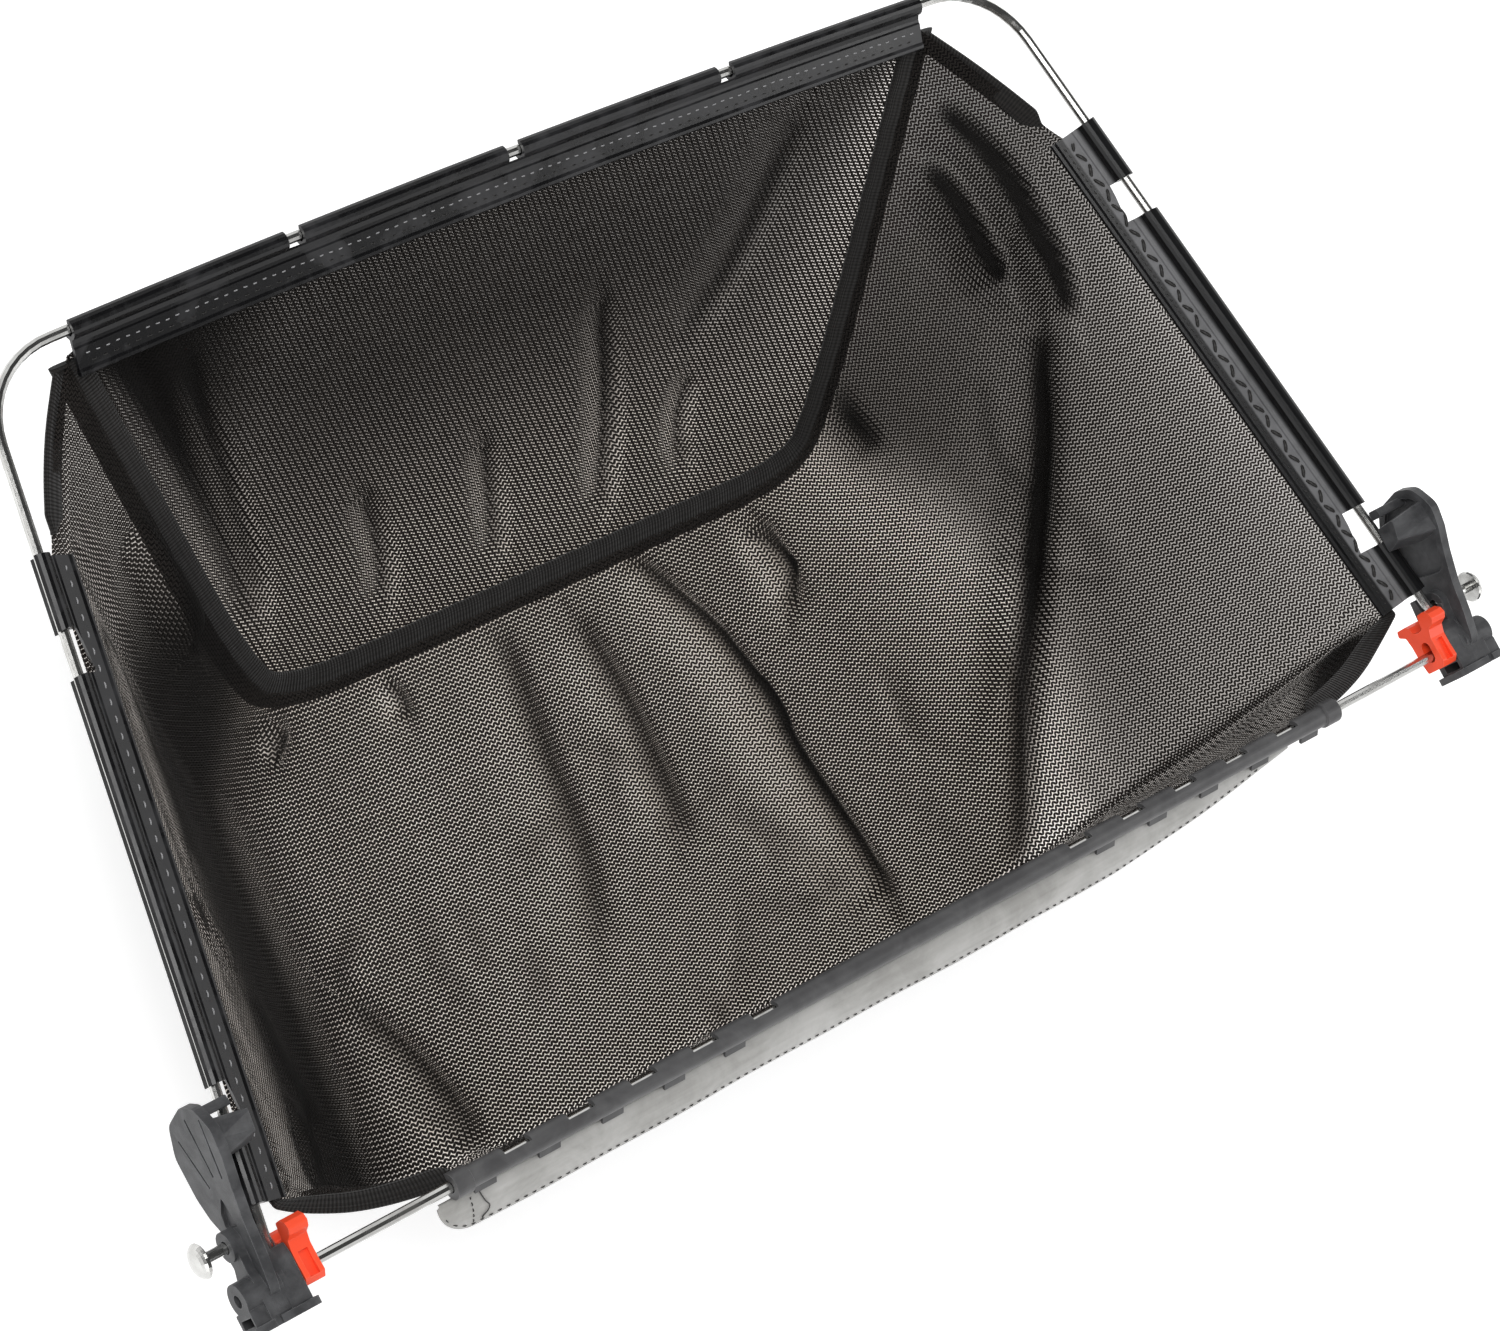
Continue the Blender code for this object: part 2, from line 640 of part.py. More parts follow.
def net_grid(points, name, mat):
    """A thin net panel from a grid of points, thickened evenly."""
    bm = bmesh.new()
    rows = [[bm.verts.new(to_world(p)) for p in row] for row in points]
    for a in range(len(rows) - 1):
        for b in range(len(rows[0]) - 1):
            bm.faces.new((rows[a][b], rows[a][b + 1], rows[a + 1][b + 1], rows[a + 1][b]))
    obj = finish(name, bm, mat, NET_SMOOTH_DEG)
    shell = obj.modifiers.new("Thickness", "SOLIDIFY")
    shell.thickness = NET_T * MM
    shell.offset = 0.0
    return obj


def main_grid():
    grid = np.array([section_line(j / NET_ROW_COUNT, NET_COLUMN_COUNT) for j in range(NET_ROW_COUNT + 1)])
    shift = seam_start(NET_COLUMN_COUNT) - grid[0]
    for j in range(NET_ROW_COUNT + 1):
        grid[j] += shift * (1 - smooth_step(j / NET_ROW_COUNT / 0.2))
    grid[:, :, 2] = np.maximum(grid[:, :, 2], NET_T / 2 - WIRE_HEIGHT)
    across = np.gradient(grid, axis=1)
    along = np.gradient(grid, axis=0)
    normal = np.cross(across, along)
    normal /= np.maximum(np.linalg.norm(normal, axis=2), 1e-9)[:, :, None]
    centre = np.array([0.0, 110.0, -20.0])
    facing = np.sign(np.sum(normal * (centre - grid), axis=2))
    normal *= facing[:, :, None]
    for j in range(NET_ROW_COUNT + 1):
        for i in range(NET_COLUMN_COUNT + 1):
            rise = fold_height(2 * i / NET_COLUMN_COUNT - 1, j / NET_ROW_COUNT)
            grid[j, i] += normal[j, i] * rise
    return grid


def back_panel(mat):
    """Bare net panel between the back web and the bound U seam."""
    columns, rows = NET_COLUMN_COUNT, 6
    inner = offset_outline(seam_outline(columns + 1), -TAPE_W - 1.3 * GAP)
    inner[:, 1] = np.maximum(inner[:, 1], 4.5)
    top = np.column_stack([inner[:, 0] * (SEAM_TOP_HALF - TAPE_W - 2) / abs(inner[0, 0]),
                           np.zeros(columns + 1)])
    grid = []
    for r in range(rows + 1):
        line = top * (1 - r / rows) + inner * (r / rows)
        line3 = on_back(line)
        sag = 5.0 * np.sin(math.pi * r / rows) * np.cos(line[:, 0] / SEAM_TOP_HALF * math.pi / 2)
        line3[:, 1] += sag * -BACK_DOWN[1]
        line3[:, 2] += sag * BACK_DOWN[0]
        grid.append(line3)
    return net_grid(grid, "back_panel", mat)


def seam_binding(mat):
    count = NET_COLUMN_COUNT + 1
    line = seam_outline(count)
    inner = offset_outline(line, -TAPE_W)
    keep = slice(1, count - 1)
    return strip("seam_binding", on_back(line)[keep], on_back(inner)[keep], TAPE_T, mat)


def corner_binding(name, t0, t1, mat):
    """Folded tape along the net's free edge at an open corner of the mouth."""
    near, far = [], []
    for t in np.linspace(t0, t1, 14):
        top, into, _, _ = along_stations(float(t))
        away = -into / np.linalg.norm(into)
        near.append(top + away * (GAP + 0.1))
        far.append(top + away * (GAP + 0.1 + BINDING_W))
    return strip(name, near, far, BINDING_T, mat)


def slider_sheet(mat):
    """Flexible crescent held under the front clip, its lower edge bent forward."""
    start = CLIP_OUT + CLIP_COLLAR_GROW + GAP + SHEET_T / 2 + 0.1
    down = np.array([-math.sqrt(0.5), -math.sqrt(0.5)])
    out = np.array([-math.sqrt(0.5), math.sqrt(0.5)])
    root = np.array([-0.574, -0.819]) * start
    row_count = 5
    left = SHEET_LEFT + SHEET_END_R * (1 - np.cos(np.linspace(0.35, math.pi / 2, 6)))
    taper_from = SHEET_RIGHT - SHEET_TAPER
    xs = np.r_[left, np.linspace(SHEET_LEFT + SHEET_END_R, taper_from, 10)[1:],
               np.linspace(taper_from, SHEET_RIGHT, 10)[1:]]
    rings = []
    for x in xs:
        ease = min(1.0, (x - SHEET_LEFT) / SHEET_END_R)
        width = SHEET_DROP * math.sqrt(max(0.0, 1 - (1 - ease) ** 2))
        if x > taper_from:
            width = SHEET_DROP * (1 - 0.93 * ((x - taper_from) / SHEET_TAPER) ** 1.35)
        middle = []
        for k in range(row_count + 1):
            share = k / row_count
            bow = SHEET_BOW * 4 * share * (1 - share) * width / SHEET_DROP
            middle.append(root + down * width * share + out * bow)
        upper = [p + out * SHEET_T / 2 for p in middle]
        lower = [p - out * SHEET_T / 2 for p in reversed(middle)]
        rings.append([(x, p[0], p[1]) for p in upper + lower])
    return finish("slider_sheet", loft(rings), mat, 50.0)


PADDLE = ((56.0, 7.0), (54.0, 14.5), (46.0, 19.5), (38.0, 17.8), (30.0, 14.4), (19.0, 10.8),
          (8.0, 8.8), (-2.0, 6.0), (-5.0, 1.5), (-3.0, -3.0), (6.0, -3.0), (14.0, -3.6),
          (19.0, -6.0), (24.0, -9.2), (31.0, -11.2), (44.0, -11.6), (53.0, -5.5))
PADDLE_POCKET = ((53.0, 6.5), (51.2, 12.2), (45.5, 16.4), (38.5, 15.0), (31.0, 11.8), (24.0, 9.2),
                 (26.0, -6.6), (31.6, -8.4), (43.4, -8.8), (50.6, -4.0))
GRIP_GROOVES = (((52.4, 6.5), (34.2, 6.3)), ((50.4, 15.4), (32.7, 11.3)), ((47.9, -4.2), (31.7, 0.7)))
GROOVE_W = 0.9
GROOVE_DEPTH = 0.5


def groove_outline(start, stop):
    a, b = Vector(start), Vector(stop)
    side = Vector((-(b - a).y, (b - a).x)).normalized() * GROOVE_W / 2
    return [tuple(p) for p in (a + side, b + side, b - side, a - side)]


def prism_y(outline, y0, y1):
    """Extrude an (x, z) outline along Y."""
    return loft([[(x, y, z) for x, z in outline] for y in (y0, y1)])


def leg_bore():
    """Clearance round a side leg where it enters the bracket."""
    radius = WIRE_R + GAP
    rings = []
    for y in (LEG_END_Y - GAP, SIDE_PROFILE_Y[0] - 1):
        x0 = side_x(y)
        rings.append([(x0 + a, y, b) for a, b in circle(0, 0, radius, 24)])
    return loft(rings)


def bracket(mat):
    """Thumb paddle, neck, base block with rod and pin bosses, and flange, as one moulding."""
    x0, x1 = PLATE_X
    blade = rounded(PADDLE, 6.0, 3)
    obj = finish("right_bracket", prism_x(blade, x0, x1), mat)
    combine(obj, "DIFFERENCE", prism_x(rounded(PADDLE_POCKET, 4.0, 3), x0 - 1, x0 + PLATE_RIM))
    for start, stop in GRIP_GROOVES:
        combine(obj, "DIFFERENCE", prism_x(groove_outline(start, stop), x1 - GROOVE_DEPTH, x1 + 1))
    neck = [(28.5, 4.4), (24.0, -0.6), (19.6, -2.2), (18.6, 6.2)]
    combine(obj, "DIFFERENCE", prism_x(rounded(neck, 0.8, 2), x1 - 1.2, x1 + 1))
    hook_root = rounded([(36.5, 4.6), (49.0, 4.6), (49.5, 16.0), (37.5, 17.4)], 0.8, 2)
    hook_tip = rounded([(38.0, 4.0), (47.0, 4.0), (47.5, 13.0), (40.5, 11.0)], 0.8, 2)
    combine(obj, "UNION", loft([[(x0 + PLATE_RIM + 0.6, y, z) for y, z in hook_root],
                                [(HOOK_TIP_X, y, z) for y, z in hook_tip]]))
    ledge = rounded([(50.4, 2.4), (53.6, 2.4), (53.6, 6.4), (50.4, 7.4)], 0.6, 2)
    combine(obj, "UNION", prism_x(ledge, LEDGE_TIP_X, x0 + PLATE_RIM + 0.6))
    web = rounded([(-9.4, -7.0), (3.0, -7.0), (5.0, -5.4), (8.5, -3.4), (14.0, -4.4), (15.0, 4.4),
                   (6.5, 3.6), (2.0, 4.8), (-9.4, 4.4)], 1.2, 2)
    combine(obj, "UNION", prism_x(web, *WEB_X))
    combine(obj, "UNION", prism_x(circle(0, 0, ROD_BOSS_R), *ROD_BOSS_X))
    combine(obj, "UNION", prism_x(circle(PIN_Y, 0, BOSS_R), *BOSS_X))
    block = rounded([(-9.4, -7.0), (9.0, -7.0), (9.0, 3.4), (5.5, 4.6), (-9.4, 4.6)], 1.0, 2)
    combine(obj, "UNION", prism_x(block, *BLOCK_X))
    tongue = rounded([(8.0, -6.4), (19.5, -5.2), (19.5, -3.0), (8.0, -1.0)], 0.5, 2)
    combine(obj, "UNION", prism_x(tongue, *TONGUE_X))
    toe = rounded([(-9.4, -6.0), (-3.5, -6.0), (-3.5, 4.0), (-9.4, 4.0)], 0.8, 2)
    combine(obj, "UNION", prism_x(toe, *TOE_X))
    fx0, fx1 = FLANGE_X
    fz0, fz1 = FLANGE_Z
    flange = rounded([(fx0, fz0), (fx1, fz0), (fx1, fz1), (fx0, fz1)], 2.6, 3)
    combine(obj, "UNION", prism_y(flange, *FLANGE_Y))
    notch = box(*FLANGE_NOTCH_X, FLANGE_Y[0] - 1, FLANGE_Y[1] + 0.6, fz1 - 1.2, fz1 + 1)
    combine(obj, "DIFFERENCE", notch)
    slit = box(fx0 - 2, fx1 + 2, *BLADE_SLOT_Y, -BLADE_SLOT_HALF, BLADE_SLOT_HALF - 1.4)
    combine(obj, "DIFFERENCE", slit)
    combine(obj, "DIFFERENCE", prism_x(circle(0, 0, WIRE_R + GAP), fx0 - 3, fx1 + 3))
    combine(obj, "DIFFERENCE", prism_x(circle(PIN_Y, 0, PIN_D / 2 + GAP), BOSS_X[0] - 1, BOSS_X[1] + 2))
    combine(obj, "DIFFERENCE", leg_bore())
    return tidy(obj)


def slide_lock(mat):
    """Red lock that straddles the front rod; its slot lets it slide forward to the flange."""
    body = [(-5.2, -5.0), (-5.2, 3.2), (-3.2, 5.2), (1.0, 4.7), (5.5, 4.6), (8.6, 5.8), (9.8, 8.6),
            (11.6, 9.9), (13.6, 9.2), (14.9, 6.6), (14.6, 3.6), (12.4, 3.0), (9.6, 2.6), (9.0, 0.0),
            (9.6, -2.6), (11.8, -3.2), (12.8, -5.0), (12.6, -9.4), (10.4, -10.2), (9.2, -7.0),
            (5.5, -6.2), (0.5, -6.0)]
    obj = finish("right_slide_lock", prism_x(rounded(body, 0.7, 2), *LOCK_X), mat)
    r = WIRE_R + GAP
    rear = LOCK_TRAVEL + GAP
    slot = arc_points((rear, 0), r, -90, 90, 8) + arc_points((GAP - LOCK_SLOT_SPARE, 0), r, 90, 270, 8)
    combine(obj, "DIFFERENCE", prism_x(slot, LOCK_X[0] - 1, LOCK_X[1] + 1))
    recess = rounded([(-3.4, 3.4), (4.6, 3.4), (4.6, 6.5), (-3.4, 6.5)], 0.5, 2)
    combine(obj, "DIFFERENCE", prism_x(recess, LOCK_X[0] + 1.6, LOCK_X[1] - 1.6))
    tidy(obj)
    set_origin(obj, (sum(LOCK_X) / 2, 0, 0))
    return obj


def headed_pin(mat):
    """Domed stainless pin, its axis across the bag."""
    count = 24
    r = PIN_D / 2
    big = PIN_HEAD_D / 2
    profile = [(PIN_END_X, r - 0.4), (PIN_END_X + 0.4, r), (PIN_HEAD_X, r), (PIN_HEAD_X, big - 0.4),
               (PIN_HEAD_X + 0.4, big)]
    for k in range(1, 6):
        a = math.pi / 2 * k / 6
        profile.append((PIN_HEAD_X + 0.4 + (PIN_HEAD_H - 0.4) * math.sin(a), big * math.cos(a)))
    profile.append((PIN_HEAD_X + PIN_HEAD_H, 0.35))
    rings = [[(x, y, z) for y, z in circle(PIN_Y, 0, radius, count)] for x, radius in profile]
    obj = finish("right_headed_pin", loft(rings), mat, 40.0)
    return obj


def main():
    for obj in list(bpy.data.objects):
        bpy.data.objects.remove(obj)
    steel = material("bright_steel", (0.62, 0.62, 0.60), 0.18, 1.0)
    black = material("black_edge_plastic", (0.016, 0.016, 0.018), 0.32)
    grey = material("grey_clip_plastic", (0.13, 0.125, 0.13), 0.45)
    bracket_grey = material("glass_filled_plastic", (0.075, 0.077, 0.082), 0.5)
    red = material("red_lock_plastic", (0.95, 0.095, 0.02), 0.4)
    net = material("black_net", (0.014, 0.013, 0.013), 0.8)
    tape = material("black_tape", (0.02, 0.018, 0.017), 0.9)
    sheet = material("silver_sheet", (0.56, 0.56, 0.54), 0.45)

    tube("frame_wire", frame_path(), WIRE_D, steel)
    rod = [(ROD_END_X * k / 2, 0, 0) for k in (-2, -1, 0, 1, 2)]
    tube("front_rod", rod, WIRE_D, steel)
    back_profile(black)
    mirrored(side_profile(black), "left_profile")
    front_clip(grey)
    slider_sheet(sheet)
    net_grid(main_grid(), "main_panel", net)
    back_panel(net)
    seam_binding(tape)
    mirrored(corner_binding("left_back_binding", 0.012, 0.195, tape), "right_back_binding")
    front_binding = corner_binding("left_front_binding", 0.742, front_binding_end(), tape)
    mirrored(front_binding, "right_front_binding")
    mirrored(bracket(bracket_grey), "left_bracket")
    mirrored(slide_lock(red), "left_slide_lock")
    mirrored(headed_pin(steel), "left_headed_pin")


main()
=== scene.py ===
import math

import bmesh
import bpy
import numpy as np
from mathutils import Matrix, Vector


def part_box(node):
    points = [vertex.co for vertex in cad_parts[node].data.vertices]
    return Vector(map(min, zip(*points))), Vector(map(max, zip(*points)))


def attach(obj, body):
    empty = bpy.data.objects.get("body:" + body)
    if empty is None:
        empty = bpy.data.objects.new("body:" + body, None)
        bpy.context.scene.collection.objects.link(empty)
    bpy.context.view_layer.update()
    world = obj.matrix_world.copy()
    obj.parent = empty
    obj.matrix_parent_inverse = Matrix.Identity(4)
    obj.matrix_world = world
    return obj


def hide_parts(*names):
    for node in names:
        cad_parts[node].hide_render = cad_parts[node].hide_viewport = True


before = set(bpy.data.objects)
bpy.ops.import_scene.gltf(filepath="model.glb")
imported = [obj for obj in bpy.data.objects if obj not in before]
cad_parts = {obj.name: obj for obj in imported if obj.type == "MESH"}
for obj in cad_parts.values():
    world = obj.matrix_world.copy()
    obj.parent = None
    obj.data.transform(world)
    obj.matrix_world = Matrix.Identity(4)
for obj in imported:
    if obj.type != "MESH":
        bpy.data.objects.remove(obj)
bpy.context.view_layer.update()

# The table and the light: a pale matt table top with the bag set down on it, a white surround,
# one broad soft lamp over the left shoulder and three weaker ones. The ceiling of the room is
# dark, and only glossy black parts show it.
bpy.ops.object.select_all(action="DESELECT")
bpy.ops.object.camera_add(location=(-0.740077, -0.103150, 1.243217),
                          rotation=(0.3295127, -0.4782101, -0.5472068))
camera = bpy.context.object
camera.name = "camera"
camera.data.lens = 103.2
camera.data.sensor_width = 36.0
camera.data.clip_end = 60.0
bpy.context.scene.camera = camera
bpy.context.scene.view_settings.view_transform = "Standard"


def seen_directly(tree):
    """1 for rays that show a background: straight from the camera, in a gloss or through glass."""
    path = tree.nodes.new("ShaderNodeLightPath")
    shown = tree.nodes.new("ShaderNodeMath")
    shown.operation = "MAXIMUM"
    either = tree.nodes.new("ShaderNodeMath")
    either.operation = "MAXIMUM"
    tree.links.new(path.outputs["Is Camera Ray"], shown.inputs[0])
    tree.links.new(path.outputs["Is Glossy Ray"], shown.inputs[1])
    tree.links.new(shown.outputs[0], either.inputs[0])
    tree.links.new(path.outputs["Is Transmission Ray"], either.inputs[1])
    return either.outputs[0]


world = bpy.data.worlds.new("white_surround")
world.use_nodes = True
bpy.context.scene.world = world
sky = world.node_tree
level = sky.nodes.new("ShaderNodeMapRange")
level.inputs["To Min"].default_value = 0.55
level.inputs["To Max"].default_value = 1.0
sky.links.new(seen_directly(sky), level.inputs["Value"])
sky.links.new(level.outputs["Result"], sky.nodes["Background"].inputs["Strength"])
sky.nodes["Background"].inputs["Color"].default_value = (1.0, 1.0, 1.0, 1.0)

bpy.ops.mesh.primitive_plane_add(size=12.0, location=(0, 0, -0.0004))
table_top = bpy.context.object
table_top.name = "table_top"
table_paint = bpy.data.materials.new("matt_white_table")
table_paint.use_nodes = True
paint = table_paint.node_tree
paint_shader = paint.nodes["Principled BSDF"]
paint_shader.inputs["Base Color"].default_value = (0.93, 0.93, 0.93, 1.0)
paint_shader.inputs["Roughness"].default_value = 0.9
paint_shader.inputs["Specular IOR Level"].default_value = 0.1
lift = paint.nodes.new("ShaderNodeMath")
lift.operation = "MULTIPLY"
lift.inputs[1].default_value = 0.46
paint.links.new(seen_directly(paint), lift.inputs[0])
# Where the floor is seen through the net, its glow turns warm brown: painted warm light under the net.
through = paint.nodes.new("ShaderNodeLightPath")
under_net = paint.nodes.new("ShaderNodeValToRGB")
under_net.color_ramp.elements[0].color = (1.0, 1.0, 1.0, 1.0)
under_net.color_ramp.elements[1].color = (0.93, 0.80, 0.68, 1.0)
paint.links.new(through.outputs["Transparent Depth"], under_net.inputs["Fac"])
paint.links.new(under_net.outputs["Color"], paint_shader.inputs["Emission Color"])
paint.links.new(lift.outputs[0], paint_shader.inputs["Emission Strength"])
table_top.data.materials.append(table_paint)

bpy.ops.mesh.primitive_plane_add(size=9.0, location=(0, 0, 3.2))
dark_ceiling = bpy.context.object
dark_ceiling.name = "dark_ceiling"
ceiling_paint = bpy.data.materials.new("matt_black_ceiling")
ceiling_paint.use_nodes = True
ceiling_paint.node_tree.nodes["Principled BSDF"].inputs["Base Color"].default_value = (0.03, 0.03, 0.03, 1.0)
dark_ceiling.data.materials.append(ceiling_paint)
for ray in ("visible_camera", "visible_diffuse", "visible_shadow", "visible_transmission"):
    setattr(dark_ceiling, ray, False)

for lamp_name, stand, aim, size, power in (
        ("key_lamp", (-1.1, 0.9, 2.3), (0.0, 0.0, 0.05), 1.6, 28.0),
        ("camera_lamp", (-1.02, 0.15, 2.35), (0.2, 0.0, 0.05), 0.8, 7.0),
        ("side_lamp", (1.9, -0.9, 1.5), (0.0, 0.0, 0.05), 1.2, 14.0),
        ("low_lamp", (-1.6, -1.7, 0.9), (0.0, 0.0, 0.05), 1.0, 9.0)):
    bpy.ops.object.light_add(type="AREA", location=stand)
    lamp = bpy.context.object
    lamp.name = lamp_name
    lamp.data.size = size
    lamp.data.energy = power
    lamp.rotation_euler = (Vector(aim) - Vector(stand)).to_track_quat("-Z", "Y").to_euler()

# The bent wire frame: one length of bright drawn spring steel, 3.5 mm thick, bent round two
# large back corners. Its free ends are pushed into the blade brackets.
MM = 0.001
FRONT_W = 496.0
BACK_W = 404.0
FRAME_DEPTH = 275.0
WIRE_HEIGHT = 111.0
Y_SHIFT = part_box("left_bracket")[0].y / MM + 11.2


def place(point):
    """Millimetres in the wire frame's own axes to metres on the table."""
    return Vector((point[0] * MM, (point[1] + Y_SHIFT) * MM, (point[2] + WIRE_HEIGHT) * MM))


def new_material(name):
    made = bpy.data.materials.new(name)
    made.use_nodes = True
    return made, made.node_tree, made.node_tree.nodes["Principled BSDF"]


def node(tree, kind, values=None, **settings):
    """A node with its settings; values fills sockets by number or name, or links them."""
    made = tree.nodes.new("ShaderNode" + kind)
    for key, value in settings.items():
        setattr(made, key, value)
    for key, value in (values or {}).items():
        if isinstance(value, bpy.types.NodeSocket):
            tree.links.new(value, made.inputs[key])
        else:
            made.inputs[key].default_value = value
    return made


def sums(tree, operation, a, b=0.5, clamp=False):
    return node(tree, "Math", {0: a, 1: b}, operation=operation, use_clamp=clamp).outputs[0]


def tint(tree, mask, dark, light):
    """Colour between dark and light by a mask."""
    ramp = node(tree, "ValToRGB", {0: mask})
    ramp.color_ramp.elements[0].color = (*dark, 1.0)
    ramp.color_ramp.elements[1].color = (*light, 1.0)
    return ramp.outputs["Color"]


def colour(tree, shader, mask, dark, light):
    tree.links.new(tint(tree, mask, dark, light), shader.inputs["Base Color"])


def roughness(tree, shader, mask, smooth, rough):
    spread = node(tree, "MapRange", {"Value": mask, "To Min": smooth, "To Max": rough})
    tree.links.new(spread.outputs[0], shader.inputs["Roughness"])


def relief(tree, shader, height, strength, distance):
    bump = node(tree, "Bump", {"Height": height, "Strength": strength, "Distance": distance})
    tree.links.new(bump.outputs[0], shader.inputs["Normal"])


def new_group(name, inputs, outputs):
    """A shader node group with number inputs and the outputs that it is given."""
    group = bpy.data.node_groups.new(name, "ShaderNodeTree")
    for socket, value in inputs.items():
        made = group.interface.new_socket(name=socket, in_out="INPUT", socket_type="NodeSocketFloat")
        made.default_value = value
    for socket in outputs:
        group.interface.new_socket(name=socket, in_out="OUTPUT", socket_type="NodeSocketFloat")
    return group, group.nodes.new("NodeGroupInput").outputs, group.nodes.new("NodeGroupOutput").inputs


def use_group(tree, group, **values):
    made = tree.nodes.new("ShaderNodeGroup")
    made.node_tree = group
    for key, value in values.items():
        made.inputs[key.replace("_", " ")].default_value = value
    return made.outputs


def coat_node(name, material):
    """Gives a CAD node that keeps its shape a finer material."""
    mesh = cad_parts[name].data
    mesh.materials.clear()
    mesh.materials.append(material)


edge_wear, given, put = new_group("edge_wear", {"Width": 0.0004, "Patch Size": 0.004, "Strength": 4.0},
                                  ["Mask"])
rounded = node(edge_wear, "Bevel", {"Radius": given["Width"]}, samples=4)
flat = node(edge_wear, "NewGeometry")
facing = node(edge_wear, "VectorMath", {0: rounded.outputs["Normal"], 1: flat.outputs["Normal"]},
              operation="DOT_PRODUCT")
bend = sums(edge_wear, "SUBTRACT", 1.0, facing.outputs["Value"])
bend = sums(edge_wear, "MULTIPLY", bend, given["Strength"])
where = node(edge_wear, "TexCoord").outputs["Object"]
patches = node(edge_wear, "TexNoise", {"Vector": where, "Detail": 3.0})
edge_wear.links.new(sums(edge_wear, "DIVIDE", 1.0, given["Patch Size"]), patches.inputs["Scale"])
rubbed = node(edge_wear, "MapRange", {"Value": patches.outputs["Fac"], "From Min": 0.35, "From Max": 0.7})
edge_wear.links.new(sums(edge_wear, "MULTIPLY", bend, rubbed.outputs[0], clamp=True), put["Mask"])

handling, given, put = new_group("handling_marks", {"Size": 0.03, "Low": 0.4, "High": 0.62}, ["Mask"])
where = node(handling, "TexCoord").outputs["Object"]
smear = node(handling, "TexNoise", {"Vector": where, "Detail": 6.0, "Roughness": 0.65, "Distortion": 0.4})
handling.links.new(sums(handling, "DIVIDE", 1.0, given["Size"]), smear.inputs["Scale"])
spread = node(handling, "MapRange", {"Value": smear.outputs["Fac"], "From Min": given["Low"],
                                     "From Max": given["High"]})
handling.links.new(spread.outputs[0], put["Mask"])

steel, tree, shader = new_material("drawn_spring_steel")
marks = use_group(tree, handling, Size=0.012, Low=0.42, High=0.66)["Mask"]
shader.inputs["Metallic"].default_value = 1.0
colour(tree, shader, marks, (0.60, 0.60, 0.585), (0.46, 0.455, 0.44))
tree.links.new(sums(tree, "MULTIPLY_ADD", marks, 0.14), shader.inputs["Roughness"])
shader.inputs["Roughness"].links[0].from_node.inputs[2].default_value = 0.17
where = node(tree, "TexCoord").outputs["Object"]
drawn = node(tree, "TexNoise", {"Vector": where, "Scale": 900.0, "Detail": 3.0})
relief(tree, shader, drawn.outputs["Fac"], 0.25, 0.00006)
coat_node("frame_wire", steel)

# The front rod: a straight length of the same steel between the two brackets. The red locks
# and the grey clip sit round it.
coat_node("front_rod", steel)

# The edge profiles: black PVC extrusions clipped on the wire, a C channel with a web that the
# net is sewn to. The dies leave fine lines along them, and their lips are scuffed.
profile_black, tree, shader = new_material("glossy_black_extrusion")
where = node(tree, "TexCoord").outputs["Object"]
worn = use_group(tree, edge_wear, Width=0.0005, Strength=3.0)["Mask"]
smudge = use_group(tree, handling, Size=0.02, Low=0.46, High=0.7)["Mask"]
either = sums(tree, "MAXIMUM", sums(tree, "MULTIPLY", worn, 0.5), sums(tree, "MULTIPLY", smudge, 0.35))
colour(tree, shader, either, (0.0030, 0.0030, 0.0036), (0.060, 0.060, 0.066))
roughness(tree, shader, smudge, 0.26, 0.5)
shader.inputs["Specular IOR Level"].default_value = 0.5
fine = node(tree, "TexNoise", {"Vector": where, "Scale": 420.0, "Detail": 4.0})
relief(tree, shader, fine.outputs["Fac"], 0.2, 0.0001)
for name in ("back_profile", "left_profile"):
    coat_node(name, profile_black)

# The right web's face is painted lighter grey and made rougher between the channel and the seam: a painted
# highlight, standing for a lamp's reflection on the glossy web.
web_painted_highlight, tree, shader = new_material("black_extrusion_painted_highlight")
where = node(tree, "TexCoord").outputs["Object"]
worn = use_group(tree, edge_wear, Width=0.0005, Strength=3.0)["Mask"]
smudge = use_group(tree, handling, Size=0.02, Low=0.46, High=0.7)["Mask"]
leg_lean = math.atan((FRONT_W - BACK_W) / 2 / FRAME_DEPTH)
leg_foot = tuple(place((FRONT_W / 2, 0.0, 0.0)))
from_leg = node(tree, "VectorMath", {0: where, 1: leg_foot}, operation="SUBTRACT").outputs[0]
across_leg = (-math.cos(leg_lean), -math.sin(leg_lean), 0.0)
inward_run = node(tree, "VectorMath", {0: from_leg, 1: across_leg}, operation="DOT_PRODUCT").outputs["Value"]
outer_side = node(tree, "MapRange", {"Value": inward_run, "From Min": 0.0034, "From Max": 0.0042}).outputs[0]
inner_side = node(tree, "MapRange", {"Value": inward_run, "From Min": 0.0088, "From Max": 0.0094,
                                     "To Min": 1.0, "To Max": 0.0}).outputs[0]
# The band between the channel and the seam is a painted highlight; smudges dull it a little.
painted_highlight_band = sums(tree, "MULTIPLY", outer_side, inner_side)
painted_highlight_band = sums(tree, "MULTIPLY", painted_highlight_band, sums(tree, "SUBTRACT", 1.0, sums(tree, "MULTIPLY", smudge, 0.4)))
# The colour mixes the real edge wear with the painted highlight band.
either = sums(tree, "MAXIMUM", sums(tree, "MULTIPLY", worn, 0.3), painted_highlight_band)
colour(tree, shader, either, (0.0030, 0.0030, 0.0036), (0.135, 0.135, 0.14))
roughness(tree, shader, either, 0.28, 0.45)
fine = node(tree, "TexNoise", {"Vector": where, "Scale": 420.0, "Detail": 4.0})
relief(tree, shader, fine.outputs["Fac"], 0.2, 0.0001)
coat_node("right_profile", web_painted_highlight)

